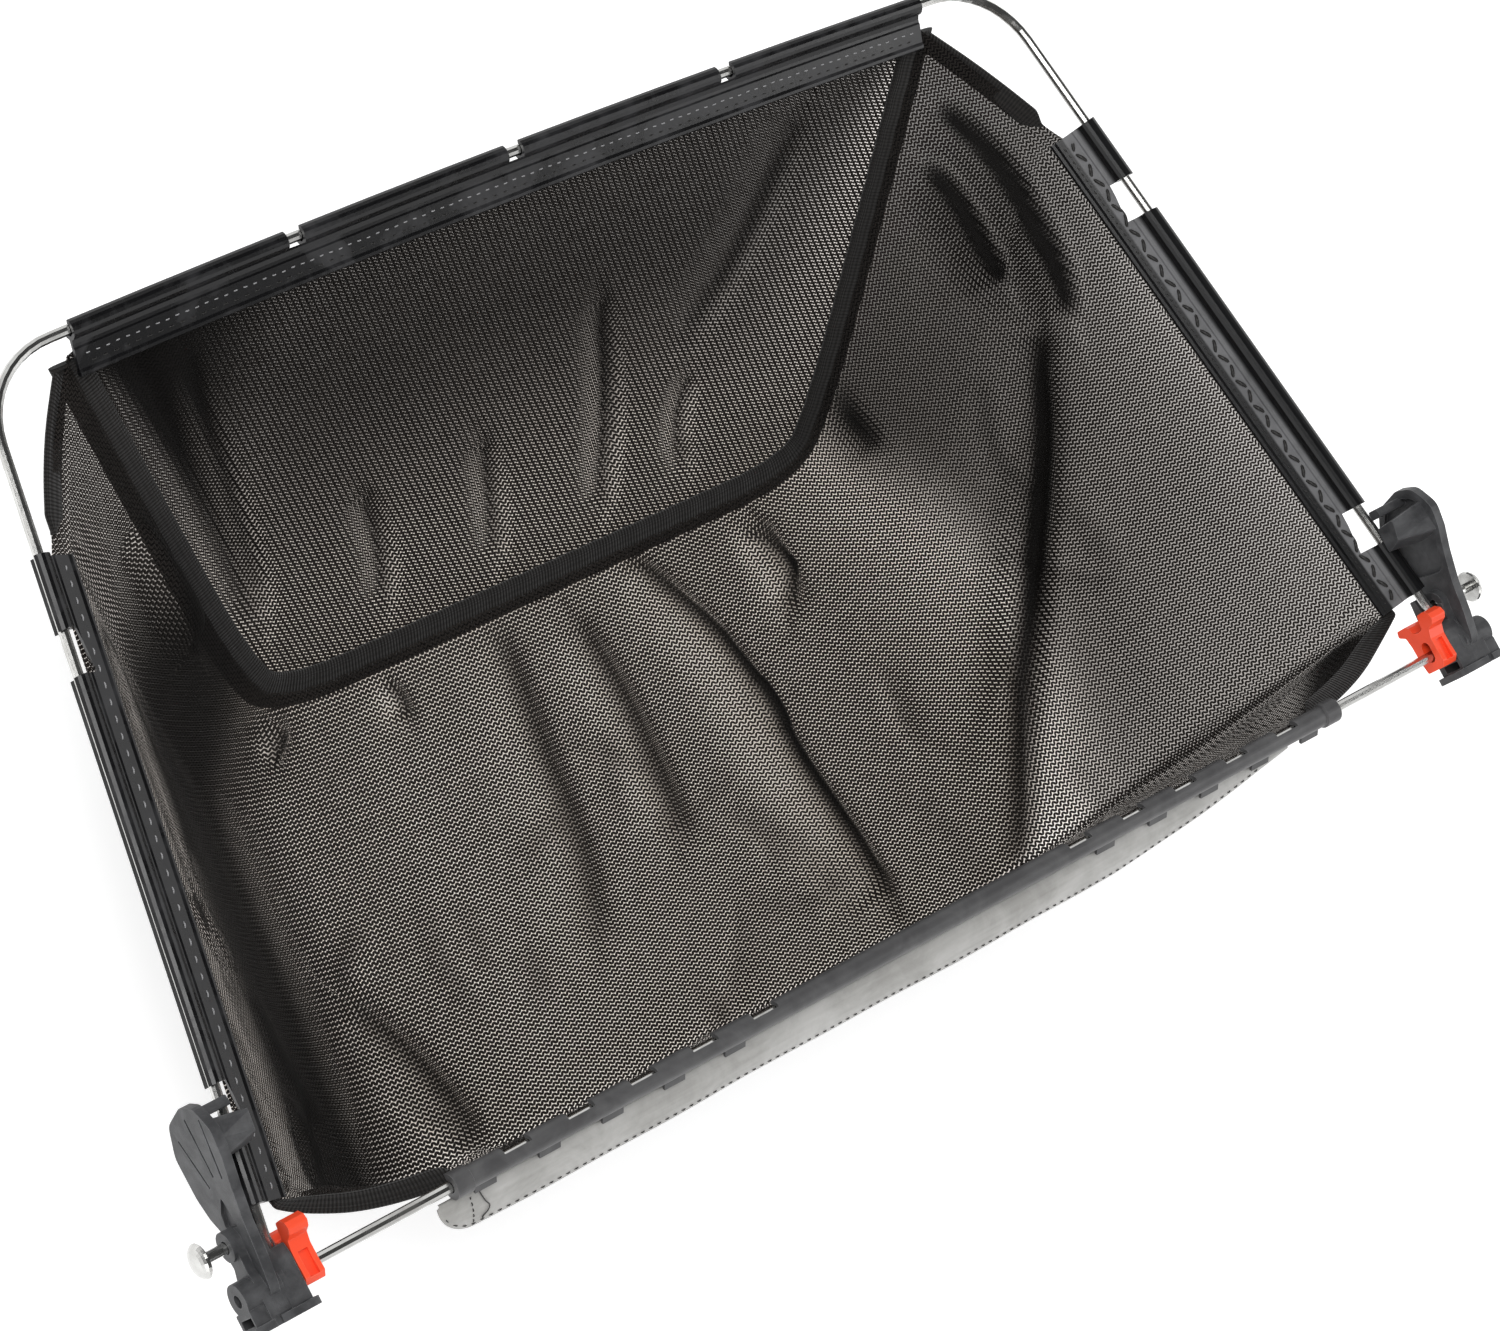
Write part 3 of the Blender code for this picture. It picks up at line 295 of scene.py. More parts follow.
# The front clip: a grey nylon moulding pushed over the front rod, its fingers staggered so
# that it can be clipped on.
clip_grey, tree, shader = new_material("grey_clip_nylon")
worn = use_group(tree, edge_wear, Width=0.0005, Strength=3.0)["Mask"]
smudge = use_group(tree, handling, Size=0.018, Low=0.42, High=0.7)["Mask"]
either = sums(tree, "MAXIMUM", worn, sums(tree, "MULTIPLY", smudge, 0.3))
colour(tree, shader, either, (0.052, 0.051, 0.053), (0.19, 0.19, 0.19))
shader.inputs["Roughness"].default_value = 0.46
coat_node("front_clip", clip_grey)

# The blade brackets: one glass-filled nylon moulding on each side, with a fine spark-eroded
# grain and pale rubbed edges on the thumb paddle.
bracket_grey, tree, shader = new_material("glass_filled_nylon")
where = node(tree, "TexCoord").outputs["Object"]
worn = use_group(tree, edge_wear, Width=0.0006, Strength=3.2)["Mask"]
smudge = use_group(tree, handling, Size=0.009, Low=0.38, High=0.7)["Mask"]
either = sums(tree, "MAXIMUM", worn, sums(tree, "MULTIPLY", smudge, 0.35))
colour(tree, shader, either, (0.035, 0.0355, 0.038), (0.18, 0.182, 0.188))
shader.inputs["Specular IOR Level"].default_value = 0.35
shader.inputs["Roughness"].default_value = 0.5
grain = node(tree, "TexNoise", {"Vector": where, "Scale": 2600.0, "Detail": 2.0})
relief(tree, shader, grain.outputs["Fac"], 0.5, 0.00012)
for name in ("left_bracket", "right_bracket"):
    coat_node(name, bracket_grey)

# The slide locks: red-orange acetal mouldings round the front rod, with a slot that lets them
# slide forward by 3 mm.
lock_red, tree, shader = new_material("red_lock_acetal")
worn = use_group(tree, edge_wear, Width=0.0004, Strength=3.0)["Mask"]
colour(tree, shader, worn, (0.93, 0.075, 0.022), (1.0, 0.21, 0.11))
shader.inputs["Roughness"].default_value = 0.38
for name in ("left_slide_lock", "right_slide_lock"):
    coat_node(name, lock_red)

# The headed pins: domed stainless pins pressed across the brackets' bosses. Their heads are
# about 11 mm wide and as bright as the wire.
for name in ("left_headed_pin", "right_headed_pin"):
    coat_node(name, steel)

# The net: black polyester mesh knitted in zigzag rows, 0.6 mm thick. One long piece makes the
# left side, the bottom and the right side; it is sewn under the side webs and the front clip,
# hangs slack between them, and lies flat where the bag rests.
NET_T = 1.2
CLOTH_T = 0.6
CREASES = 46
CREASE_SEED = 11
MAIN_TURN = math.radians(-3)
LEFT_SLACK, RIGHT_SLACK = 14.0, 3.0
NET_ROWS = 156
NET_COLUMNS = 260
BACK_FOOT_Y = 160.0
FLAT_FRONT_Y = -1.6
FRONT_WALL_Y = -0.8
BOTTOM_HALF = 120.0
SEAM_TOP_HALF = 174.0
FRONT_EDGE_HALF = 180.0
LOW = NET_T / 2 - WIRE_HEIGHT
BACK_TOP = np.array([FRAME_DEPTH - 4.3, -6.3])
BACK_FOOT = np.array([BACK_FOOT_Y, 1.2 - WIRE_HEIGHT])
BACK_LENGTH = float(np.linalg.norm(BACK_FOOT - BACK_TOP))
BACK_DOWN = (BACK_FOOT - BACK_TOP) / BACK_LENGTH
MIRROR = np.array([-1.0, 1.0, 1.0])


def cut_corners(points, rounds):
    """Rounds an open control line off; its ends stay."""
    line = np.array(points, float)
    for _ in range(rounds):
        near = 0.75 * line[:-1] + 0.25 * line[1:]
        far = 0.25 * line[:-1] + 0.75 * line[1:]
        line = np.concatenate([line[:1], np.stack([near, far], 1).reshape(-1, line.shape[1]), line[-1:]])
    return line


def even_steps(line, count):
    run = np.r_[0.0, np.cumsum(np.linalg.norm(np.diff(line, axis=0), axis=1))]
    where = np.linspace(0.0, run[-1], count)
    return np.stack([np.interp(where, run, line[:, k]) for k in range(line.shape[1])], axis=1)


def ease(t):
    t = np.clip(t, 0.0, 1.0)
    return t * t * (3 - 2 * t)


def side_x(y):
    """Distance of a side leg's axis from the middle."""
    return (FRONT_W - (FRONT_W - BACK_W) * y / FRAME_DEPTH) / 2


def under_web(y, reach):
    """Left mouth edge of the net, below the side web, at a distance from the wire's axis."""
    tilt, drop = math.radians(30.0), 2.4
    return (reach * math.cos(tilt) - drop * math.sin(tilt) - side_x(y), y,
            -reach * math.sin(tilt) - drop * math.cos(tilt))


def on_back(points):
    """Points (x, distance down the slope) on the back panel to the frame's axes."""
    return np.column_stack([points[:, 0], BACK_TOP + points[:, 1:2] * BACK_DOWN])


def seam_outline(count):
    """The U seam round the back panel, left to right, as (x, distance down the slope)."""
    left = [(-SEAM_TOP_HALF, 1.0), (30 - SEAM_TOP_HALF, 0.55 * BACK_LENGTH),
            (-BOTTOM_HALF - 6, 0.86 * BACK_LENGTH), (8 - BOTTOM_HALF, BACK_LENGTH),
            (-0.4 * BOTTOM_HALF, BACK_LENGTH)]
    return even_steps(cut_corners(left + [(-x, q) for x, q in reversed(left)], 4), count)


def beside(line, reach):
    """An open flat line moved square to itself."""
    along = np.gradient(line, axis=0)
    along /= np.linalg.norm(along, axis=1)[:, None]
    return line + reach * np.stack([-along[:, 1], along[:, 0]], axis=1)


step = (BACK_FOOT_Y - FLAT_FRONT_Y) / 5
inward = (0.86, -0.14, -0.5)
STATIONS = [
    # mouth edge, the way the net leaves it, then y and z of the bottom and x of its two corners
    ((-SEAM_TOP_HALF, BACK_TOP[0] - 3.3, -9.4), (0.35, -0.8, -0.5), BACK_FOOT_Y, LOW, 120.0, 120.0),
    ((-189.0, 246.0, -9.5), (0.65, -0.55, -0.5), FLAT_FRONT_Y + 4.5 * step, LOW, 121.6, 130.0),
    (under_web(219.0, 11.0), inward, FLAT_FRONT_Y + 4 * step, LOW, 123.2, 140.0),
    (under_web(214.0, 8.0), inward, FLAT_FRONT_Y + 3.6 * step, LOW, 123.2, 148.0),
    (under_web(141.0, 8.0), inward, FLAT_FRONT_Y + 2 * step, LOW, 124.8, 161.0),
    (under_web(78.1, 8.0), inward, FLAT_FRONT_Y + step, LOW, 126.4, 153.0),
    (under_web(48.0, 8.0), inward, FLAT_FRONT_Y + 7, LOW, 127.5, 144.0),
    (under_web(36.0, 8.0), inward, FLAT_FRONT_Y, LOW, 128.0, 141.0),
    (under_web(21.0, 8.0), inward, FRONT_WALL_Y + 1, 0.86 * LOW, 136.0, 144.0),
    ((-226.5, 14.5, -9.5), (0.7, 0.5, -0.5), FRONT_WALL_Y, 0.44 * LOW, 156.0, 160.0),
    ((-208.0, 6.5, -8.0), (0.4, 0.75, -0.5), 1.0, -12.0, 178.2, 178.2),
    ((-FRONT_EDGE_HALF, 1.8, -4.45), (0.0, 0.86, -0.5), 1.8, -4.45, FRONT_EDGE_HALF, FRONT_EDGE_HALF),
]


def at_station(t):
    """Mouth edge, its inward run, and the bottom's y, z and two corners at t, 0 at the seam."""
    edge = []
    for item in (0, 1):
        smooth = cut_corners([s[item] for s in STATIONS], 3)
        edge.append([np.interp(t, np.linspace(0, 1, len(smooth)), smooth[:, k]) for k in range(3)])
    smooth = cut_corners([s[2:] for s in STATIONS], 3)
    bottom = [np.interp(t, np.linspace(0, 1, len(smooth)), smooth[:, k]) for k in range(4)]
    return np.array(edge[0]), np.array(edge[1]), bottom


def side_run(top, knee, corner, middle, slack):
    """Control points from the mouth down one wall and half way over the bottom."""
    belly = np.array([np.sign(corner[0]) * slack, 0.0, -0.35 * slack])
    return [top, knee, knee * 0.55 + corner * 0.45 + belly, knee * 0.15 + corner * 0.85 + belly * 1.3,
            corner * 0.85 + middle * 0.15, corner * 0.5 + middle * 0.5]


def net_line(t):
    """One run of the net across the bag, from its left mouth edge to its right one."""
    top, into, (y, z, near, far) = at_station(t)
    knee = top + into * 11.0 * min(1.0, (1 - t) * 5)
    middle = np.array([0.0, y, z])
    free = ease(t / 0.35) * ease((1 - t) / 0.4)
    left = side_run(top, knee, np.array([-near, y, z]), middle, LEFT_SLACK * free)
    right = side_run(top * MIRROR, knee * MIRROR, np.array([far, y, z]), middle, RIGHT_SLACK * free)
    return even_steps(cut_corners(left + [middle] + right[::-1], 3), NET_COLUMNS + 1)


def enlarge(coarse, rows, columns):
    """A grid of values read at more rows and columns."""
    at = np.linspace(0, coarse.shape[1] - 1, columns)
    known = np.arange(coarse.shape[1])
    wide = np.array([[np.interp(at, known, row[:, k]) for k in (0, 1)] for row in coarse])
    at = np.linspace(0, coarse.shape[0] - 1, rows)
    known = np.arange(coarse.shape[0])
    return np.array([[np.interp(at, known, wide[:, k, b]) for k in (0, 1)]
                     for b in range(columns)]).transpose(2, 0, 1)


def cut_flat(grid):
    """The cloth's flat cut, in mm: lengths along and across, then let out until they all fit."""
    steps = [np.linalg.norm(np.diff(grid, axis=axis), axis=2) for axis in (1, 0)]
    across = np.concatenate([np.zeros((len(grid), 1)), np.cumsum(steps[0], axis=1)], axis=1)
    across -= across[:, grid.shape[1] // 2:grid.shape[1] // 2 + 1]
    along = np.concatenate([np.zeros((1, grid.shape[1])), np.cumsum(steps[1], axis=0)], axis=0)
    flat = np.stack([across, along[-1] - along], axis=2)
    for every, rounds in ((26, 500), (13, 500), (4, 400)):
        coarse = grid[::every, ::every]
        rows, columns = coarse.shape[:2]
        spread = enlarge(flat, rows, columns).reshape(-1, 2)
        points = coarse.reshape(-1, 3)
        number = np.arange(rows * columns).reshape(rows, columns)
        first = [number[:, :-1], number[:-1], number[:-1, :-1], number[:-1, 1:]]
        second = [number[:, 1:], number[1:], number[1:, 1:], number[1:, :-1]]
        first, second = (np.concatenate([part.ravel() for part in ends]) for ends in (first, second))
        want = np.linalg.norm(points[first] - points[second], axis=1)
        count = len(spread)
        ends = np.bincount(np.r_[first, second], minlength=count)[:, None]
        for _ in range(rounds):
            apart = spread[second] - spread[first]
            length = np.maximum(np.linalg.norm(apart, axis=1), 1e-6)
            pull = apart * ((length - want) / length)[:, None]
            moved = [np.bincount(first, pull[:, k], count) - np.bincount(second, pull[:, k], count)
                     for k in (0, 1)]
            spread += np.stack(moved, axis=1) / ends
        flat = spread.reshape(rows, columns, 2)
    return enlarge(flat, *grid.shape[:2])


def fold_rise(flat, folds):
    """How far the slack cloth stands inward, and how bunched it is, at its flat points; the bunching also
    paints shade into the creases.
    """
    rise = np.zeros(flat.shape[:2])
    bunched_and_shade = np.zeros(flat.shape[:2])
    for path, sharp, soft, height in folds:
        line = cut_corners(path, 2)
        run = np.linspace(0, 1, len(line))
        nearest = np.full(flat.shape[:2], 1e9)
        share = np.zeros_like(nearest)
        side = np.zeros_like(nearest)
        for a, b, at, to in zip(line[:-1], line[1:], run[:-1], run[1:]):
            leg = b - a
            u = np.clip(((flat - a) @ leg) / (leg @ leg), 0, 1)
            off = flat - a - u[:, :, None] * leg
            gap = np.hypot(off[:, :, 0], off[:, :, 1])
            closer = gap < nearest
            nearest = np.where(closer, gap, nearest)
            share = np.where(closer, at + u * (to - at), share)
            side = np.where(closer, leg[0] * off[:, :, 1] - leg[1] * off[:, :, 0], side)
        width = np.where(side > 0, sharp, soft)
        fade = np.sin(math.pi * (0.06 + 0.88 * share)) ** 0.8
        rise += height * fade * np.exp(-(nearest / width) ** 2)
        bunched_and_shade += np.clip(abs(height) / 9.0, 0, 1) * fade * np.exp(-(nearest / (0.8 * sharp)) ** 2)
    return rise, bunched_and_shade


def surface_normal(grid, towards):
    """Unit normals of a grid of points, on the side of a point."""
    normal = np.cross(np.gradient(grid, axis=1), np.gradient(grid, axis=0))
    normal /= np.maximum(np.linalg.norm(normal, axis=2), 1e-9)[:, :, None]
    return normal * np.sign(np.sum(normal * (towards - grid), axis=2))[:, :, None]


def lay_cloth(name, grid, thickness, flat, gathered_and_shade, turn=0.0):
    """A sheet of cloth from a grid of points, with its flat cut as its UV map, in metres."""
    rows, columns = grid.shape[:2]
    turned = np.array([[math.cos(turn), math.sin(turn)], [-math.sin(turn), math.cos(turn)]])
    faces = [(a * columns + b, a * columns + b + 1, (a + 1) * columns + b + 1, (a + 1) * columns + b)
             for a in range(rows - 1) for b in range(columns - 1)]
    mesh = bpy.data.meshes.new(name)
    mesh.from_pydata([place(p) for p in grid.reshape(-1, 3)], [], faces)
    uv = mesh.uv_layers.new(name="weave")
    corner = np.empty(len(mesh.loops), int)
    mesh.loops.foreach_get("vertex_index", corner)
    uv.data.foreach_set("uv", ((flat @ turned) * MM).reshape(-1, 2)[corner].ravel())
    mesh.attributes.new("gathered_and_shade", "FLOAT", "POINT").data.foreach_set("value", gathered_and_shade.ravel())
    mesh.shade_smooth()
    made = bpy.data.objects.new(name, mesh)
    bpy.context.collection.objects.link(made)
    bpy.ops.object.select_all(action="DESELECT")
    made.select_set(True)
    bpy.context.view_layer.objects.active = made
    shell = made.modifiers.new("thickness", "SOLIDIFY")
    shell.thickness = thickness * MM
    shell.offset = 0.0
    bpy.ops.object.modifier_apply(modifier="thickness")
    return made


trial = np.array([net_line(t) for t in np.linspace(0, 1, 61)])
run = np.r_[0.0, np.cumsum(np.linalg.norm(np.diff(trial, axis=0), axis=2).mean(axis=1))]
places = np.interp(np.linspace(0, run[-1], NET_ROWS + 1), run, np.linspace(0, 1, 61))
net_grid = np.array([net_line(t) for t in places])
seam_row = on_back(beside(seam_outline(NET_COLUMNS + 1), -3.5))
seam_row[:, 1] -= 0.5
seam_row[:, 2] = np.maximum(seam_row[:, 2], LOW)
seam_shift = seam_row - net_grid[0]
settle = 1 - ease(places / 0.2)
net_grid += seam_shift[None] * settle[:, None, None]
net_grid[:, :, 2] = np.maximum(net_grid[:, :, 2], LOW)
net_flat = cut_flat(net_grid)

FOLDS = [
    # path on the flat cloth, its steep and its easy side, height
    (((37, 258), (51, 231), (54, 205), (52, 175), (54, 149), (56, 129), (59, 118)), 4.0, 13.0, 9.0),
    (((-28, 255), (-29, 238), (-32, 213), (-33, 182), (-41, 152)), 5.0, 14.0, 3.4),
    (((4, 248), (6, 229), (5, 198), (1, 171)), 5.0, 12.0, 4.0),
    (((94, 248), (94, 232), (86, 220)), 3.6, 9.0, 6.0),
    (((-134, 158), (-119, 139), (-111, 121), (-109, 109)), 5.0, 14.0, 3.8),
    (((-124, 249), (-133, 239)), 3.0, 6.0, 4.5),
    (((-76, 253), (-74, 242)), 3.0, 6.0, 4.0),
    (((225, 238), (215, 228), (205, 214), (188, 196), (174, 181), (161, 165), (143, 146), (124, 127),
      (108, 109)), 5.2, 12.0, -9.0),
    (((251, 322), (254, 299), (251, 277), (249, 257), (242, 240)), 3.6, 14.0, 9.0),
    (((234, 310), (234, 294), (230, 277), (228, 265)), 3.4, 11.0, 8.0),
    (((156, 275), (150, 264), (152, 247)), 5.0, 9.0, 4.0),
    (((87, 248), (91, 236), (94, 226)), 3.0, 6.0, 3.5),
    (((55, 205), (54, 185)), 4.0, 8.0, 3.0),
    (((-217, 310), (-192, 288), (-179, 278)), 5.0, 14.0, 10.0),
]
INSIDE = np.array([0.0, 110.0, -20.0])
across_share, along_share = np.meshgrid(np.linspace(-1, 1, NET_COLUMNS + 1), np.linspace(0, 1, NET_ROWS + 1))
held = ease((1 - abs(across_share)) / 0.08) * ease(along_share / 0.05) * ease((1 - along_share) / 0.06)
rng = np.random.default_rng(CREASE_SEED)
creases = []
for _ in range(CREASES):
    start = rng.uniform((-250, 20), (250, 200))
    turn = rng.normal(1.7, 0.6)
    run = rng.uniform(18, 60) * np.array([math.cos(turn), math.sin(turn)])
    bow = rng.normal(0, 0.12) * np.array([-run[1], run[0]])
    creases.append(((start, start + run / 2 + bow, start + run), rng.uniform(3, 6), rng.uniform(5, 11),
                    rng.choice([-1, 1]) * rng.uniform(0.4, 1.3)))
rise, bunched_and_shade = fold_rise(net_flat, FOLDS + creases)
net_grid += surface_normal(net_grid, INSIDE) * (rise * held)[:, :, None]
net_grid[:, :, 2] = np.maximum(net_grid[:, :, 2], LOW)

knit_sizes = {"Row": 0.00152, "Stitch": 0.00212, "Open": 0.425, "Swing": 0.72}
knit, given, put = new_group("zigzag_knit", knit_sizes, ["Hole", "Height"])
weave = node(knit, "UVMap", uv_map="weave")
flat = node(knit, "SeparateXYZ", {0: weave.outputs["UV"]})
stitch = sums(knit, "PINGPONG", sums(knit, "DIVIDE", flat.outputs["X"], given["Stitch"]), 0.5)
swing = sums(knit, "MULTIPLY", sums(knit, "MULTIPLY", stitch, 2.0), given["Swing"])
wale = sums(knit, "ADD", sums(knit, "DIVIDE", flat.outputs["Y"], given["Row"]), swing)
off = sums(knit, "MULTIPLY", sums(knit, "PINGPONG", wale, 0.5), 2.0)
turning = sums(knit, "ABSOLUTE", sums(knit, "SUBTRACT", sums(knit, "MULTIPLY", stitch, 4.0), 1.0))
slack = node(knit, "TexNoise", {"Vector": weave.outputs["UV"], "Scale": 260.0, "Detail": 2.0})
width = sums(knit, "ADD", given["Open"], sums(knit, "MULTIPLY", sums(knit, "SUBTRACT", turning, 0.5), 0.42))
slack = sums(knit, "MULTIPLY", sums(knit, "SUBTRACT", slack.outputs["Fac"], 0.5), 0.14)
width = sums(knit, "ADD", width, slack)
edge = sums(knit, "DIVIDE", sums(knit, "SUBTRACT", width, off), 0.22)
knit.links.new(sums(knit, "ADD", edge, 0.5, clamp=True), put["Hole"])
knit.links.new(off, put["Height"])

net_black, tree, shader = new_material("black_zigzag_net")
pattern = use_group(tree, knit)
bunch_and_shade = node(tree, "Attribute", attribute_name="gathered_and_shade").outputs["Fac"]
closed = node(tree, "MapRange", {"Value": bunch_and_shade, "To Min": 1.0, "To Max": 0.06}).outputs[0]
hole = sums(tree, "MULTIPLY", pattern["Hole"], closed)
tree.links.new(sums(tree, "SUBTRACT", 1.0, hole), shader.inputs["Alpha"])
where = node(tree, "TexCoord").outputs["Object"]
# The strands are painted lighter on their raised middles, by the knit's height: a painted highlight, its
# strength varied by a noise.
dust = node(tree, "TexNoise", {"Vector": where, "Scale": 34.0, "Detail": 5.0})
strand = sums(tree, "MULTIPLY", pattern["Height"], sums(tree, "ADD", dust.outputs["Fac"], 0.35))
# Where the cloth is gathered most, the strands are painted darker: painted shade.
painted_shade = node(tree, "MapRange", {"Value": bunch_and_shade, "From Min": 0.3, "To Min": 1.0, "To Max": 0.15}).outputs[0]
strand = sums(tree, "MULTIPLY", strand, painted_shade)
colour(tree, shader, strand, (0.0020, 0.0016, 0.0014), (0.0240, 0.0200, 0.0175))
shader.inputs["Roughness"].default_value = 0.7
shader.inputs["Specular IOR Level"].default_value = 0.12
shader.inputs["Sheen Weight"].default_value = 0.02
shader.inputs["Sheen Roughness"].default_value = 0.45
relief(tree, shader, pattern["Height"], 0.6, 0.0002)

# The walls hang with their holes closed up and their strands painted darker, most of all at the left one's
# foot and at the right front corner: painted shade. The folds add the same painted shade in their creases.
raised = ease((net_grid[:, :, 2] - LOW - 3.0) / 20.0)
height = (net_grid[:, :, 2] - LOW) / -LOW
leftmost = ease((-across_share - 0.42) / 0.2)
drawn = raised * (leftmost * (0.86 - 0.66 * ease((height - 0.4) / 0.3))
                  + (1 - leftmost) * (0.34 + 0.25 * ease((0.4 - along_share) / 0.3)))
drawn += 0.6 * ease((across_share - 0.84) / 0.1) * ease((along_share - 0.74) / 0.1)
tone = np.clip(drawn + bunched_and_shade * held, 0, 1)
main_net = lay_cloth("main_net", net_grid, CLOTH_T, net_flat, tone, MAIN_TURN)
main_net.data.materials.append(net_black)
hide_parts("main_panel")
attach(main_net, "root")

# The back net: the same mesh, cut to a broad U, sewn under the back web and along the U seam.
# Its rows run slanting, so that the net gives when the bag is filled.
BACK_ROWS = 90
BACK_SAG = 5.0
BACK_TURN = math.radians(-21)
outline = beside(seam_outline(NET_COLUMNS + 1), -3.0)
outline[:, 1] = np.maximum(outline[:, 1], 1.2)
top_edge = np.zeros((NET_COLUMNS + 1, 2))
top_edge[:, 0] = np.linspace(6 - SEAM_TOP_HALF, SEAM_TOP_HALF - 6, NET_COLUMNS + 1)
back_grid, back_flat = [], []
for r in range(BACK_ROWS + 1):
    share = r / BACK_ROWS
    line = top_edge * (1 - share) + outline * share
    row = on_back(line)
    sag = BACK_SAG * math.sin(math.pi * share) * np.cos(line[:, 0] / SEAM_TOP_HALF * math.pi / 2)
    row[:, 1] -= sag * BACK_DOWN[1]
    row[:, 2] += sag * BACK_DOWN[0]
    back_grid.append(row)
    back_flat.append(line * (1, -1))
back_grid, back_flat = np.array(back_grid), np.array(back_flat)
BACK_FOLDS = [
    (((36, -58), (38, -96), (30, -132)), 3.5, 9.0, 4.5),
    (((-16, -92), (-14, -112), (-16, -133)), 3.5, 8.0, 3.5),
    (((-66, -92), (-60, -112), (-62, -133)), 3.5, 8.0, 3.5),
    (((70, -100), (64, -118), (66, -133)), 3.0, 7.0, 3.0),
    (((-150, -4), (-128, -60), (-112, -120)), 6.0, 14.0, 5.0),
    (((-128, -18), (-116, -66), (-108, -112)), 3.5, 8.0, 3.5),
    (((120, -20), (96, -60), (70, -84)), 6.0, 14.0, 2.5),
]
rise, bunched_and_shade = fold_rise(back_flat, BACK_FOLDS)
loose = ease(np.linspace(0, 1, BACK_ROWS + 1) / 0.15)[:, None]
back_grid[:, :, 1] -= rise * BACK_DOWN[1] * loose
back_grid[:, :, 2] += rise * BACK_DOWN[0] * loose
back_grid[:, :, 2] = np.maximum(back_grid[:, :, 2], LOW)
back_across, back_down = np.meshgrid(np.linspace(-1, 1, NET_COLUMNS + 1), np.linspace(0, 1, BACK_ROWS + 1))
# Painted shade: the back net's holes close and its strands are painted darker towards the top and towards
# the left side.
drawn = 0.56 * ease((0.82 - back_down) / 0.55) + 0.45 * ease((-back_across - 0.5) / 0.3)
tone = np.clip(drawn + bunched_and_shade, 0, 1)
back_net = lay_cloth("back_net", back_grid, CLOTH_T, back_flat, tone, BACK_TURN)
back_net.data.materials.append(net_black)
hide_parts("back_panel")
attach(back_net, "root")

# The U seam's tape: black webbing, 13 mm wide once it is folded over the two nets' edges and
# sewn through, so that it puckers a little between the stitches.
SEAM_OUT, SEAM_IN = 4.2, 8.6
SEAM_TAPE_T = 2.7
CORNER_TAPE_T = 2.1
SEAM_STEPS = 321
webbing, given, put = new_group("ribbed_webbing", {"Rib": 0.0012, "Thread": 0.0010}, ["Height", "Tone"])
weave = node(webbing, "UVMap", uv_map="weave")
flat = node(webbing, "SeparateXYZ", {0: weave.outputs["UV"]})
rib = sums(webbing, "PINGPONG", sums(webbing, "DIVIDE", flat.outputs["X"], given["Rib"]), 0.5)
thread = sums(webbing, "PINGPONG", sums(webbing, "DIVIDE", flat.outputs["Y"], given["Thread"]), 0.5)
both = sums(webbing, "ADD", sums(webbing, "MULTIPLY", rib, 1.4), sums(webbing, "MULTIPLY", thread, 0.6))
webbing.links.new(both, put["Height"])
webbing.links.new(both, put["Tone"])

# The webbing is painted lighter on its ribs' crests, by the same height as its bump: a painted highlight.
tape_black, tree, shader = new_material("black_webbing")
pattern = use_group(tree, webbing)
colour(tree, shader, pattern["Tone"], (0.0008, 0.0007, 0.0007), (0.0200, 0.0175, 0.0160))
shader.inputs["Specular IOR Level"].default_value = 0.2
shader.inputs["Roughness"].default_value = 0.75
shader.inputs["Sheen Weight"].default_value = 0.15
relief(tree, shader, pattern["Height"], 1.0, 0.0005)


def lay_tape(name, near, far, thickness, material, nodes):
    """A folded tape between two edge lines: a flat oval section swept along them."""
    count = len(near)
    middle = (near + far) / 2
    along = np.gradient(middle, axis=0)
    along /= np.linalg.norm(along, axis=1)[:, None]
    over = far - near
    wide = np.linalg.norm(over, axis=1)[:, None]
    over = over / wide
    lift = np.cross(along, over)
    angles = np.linspace(0, 2 * math.pi, 17)[:-1]
    ring_u = np.sign(np.cos(angles)) * abs(np.cos(angles)) ** 0.6
    ring_v = np.sign(np.sin(angles)) * abs(np.sin(angles)) ** 0.75
    rings = middle[:, None] + over[:, None] * (ring_u[None, :, None] * wide[:, :, None] / 2)
    rings = rings + lift[:, None] * (ring_v[None, :, None] * thickness / 2)
    rings[:, :, 2] = np.maximum(rings[:, :, 2], -WIRE_HEIGHT)
    run = np.r_[0.0, np.cumsum(np.linalg.norm(np.diff(middle, axis=0), axis=1))]
    bm = bmesh.new()
    layer = bm.loops.layers.uv.new("weave")
    grid = [[bm.verts.new(place(p)) for p in ring] for ring in rings]
    for a in range(count - 1):
        for b in range(16):
            c = (b + 1) % 16
            face = bm.faces.new((grid[a][b], grid[a][c], grid[a + 1][c], grid[a + 1][b]))
            for loop, (k, m) in zip(face.loops, ((a, b), (a, b + 1), (a + 1, b + 1), (a + 1, b))):
                loop[layer].uv = (run[k] * MM, m / 16 * 2.2 * float(wide.mean()) * MM)
    bm.faces.new(grid[0])
    bm.faces.new(grid[-1])
    bmesh.ops.recalc_face_normals(bm, faces=bm.faces)
    mesh = bpy.data.meshes.new(name)
    bm.to_mesh(mesh)
    bm.free()
    mesh.shade_smooth()
    mesh.set_sharp_from_angle(angle=math.radians(50))
    made = bpy.data.objects.new(name, mesh)
    bpy.context.collection.objects.link(made)
    mesh.materials.append(material)
    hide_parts(nodes)
    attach(made, "root")
    return made


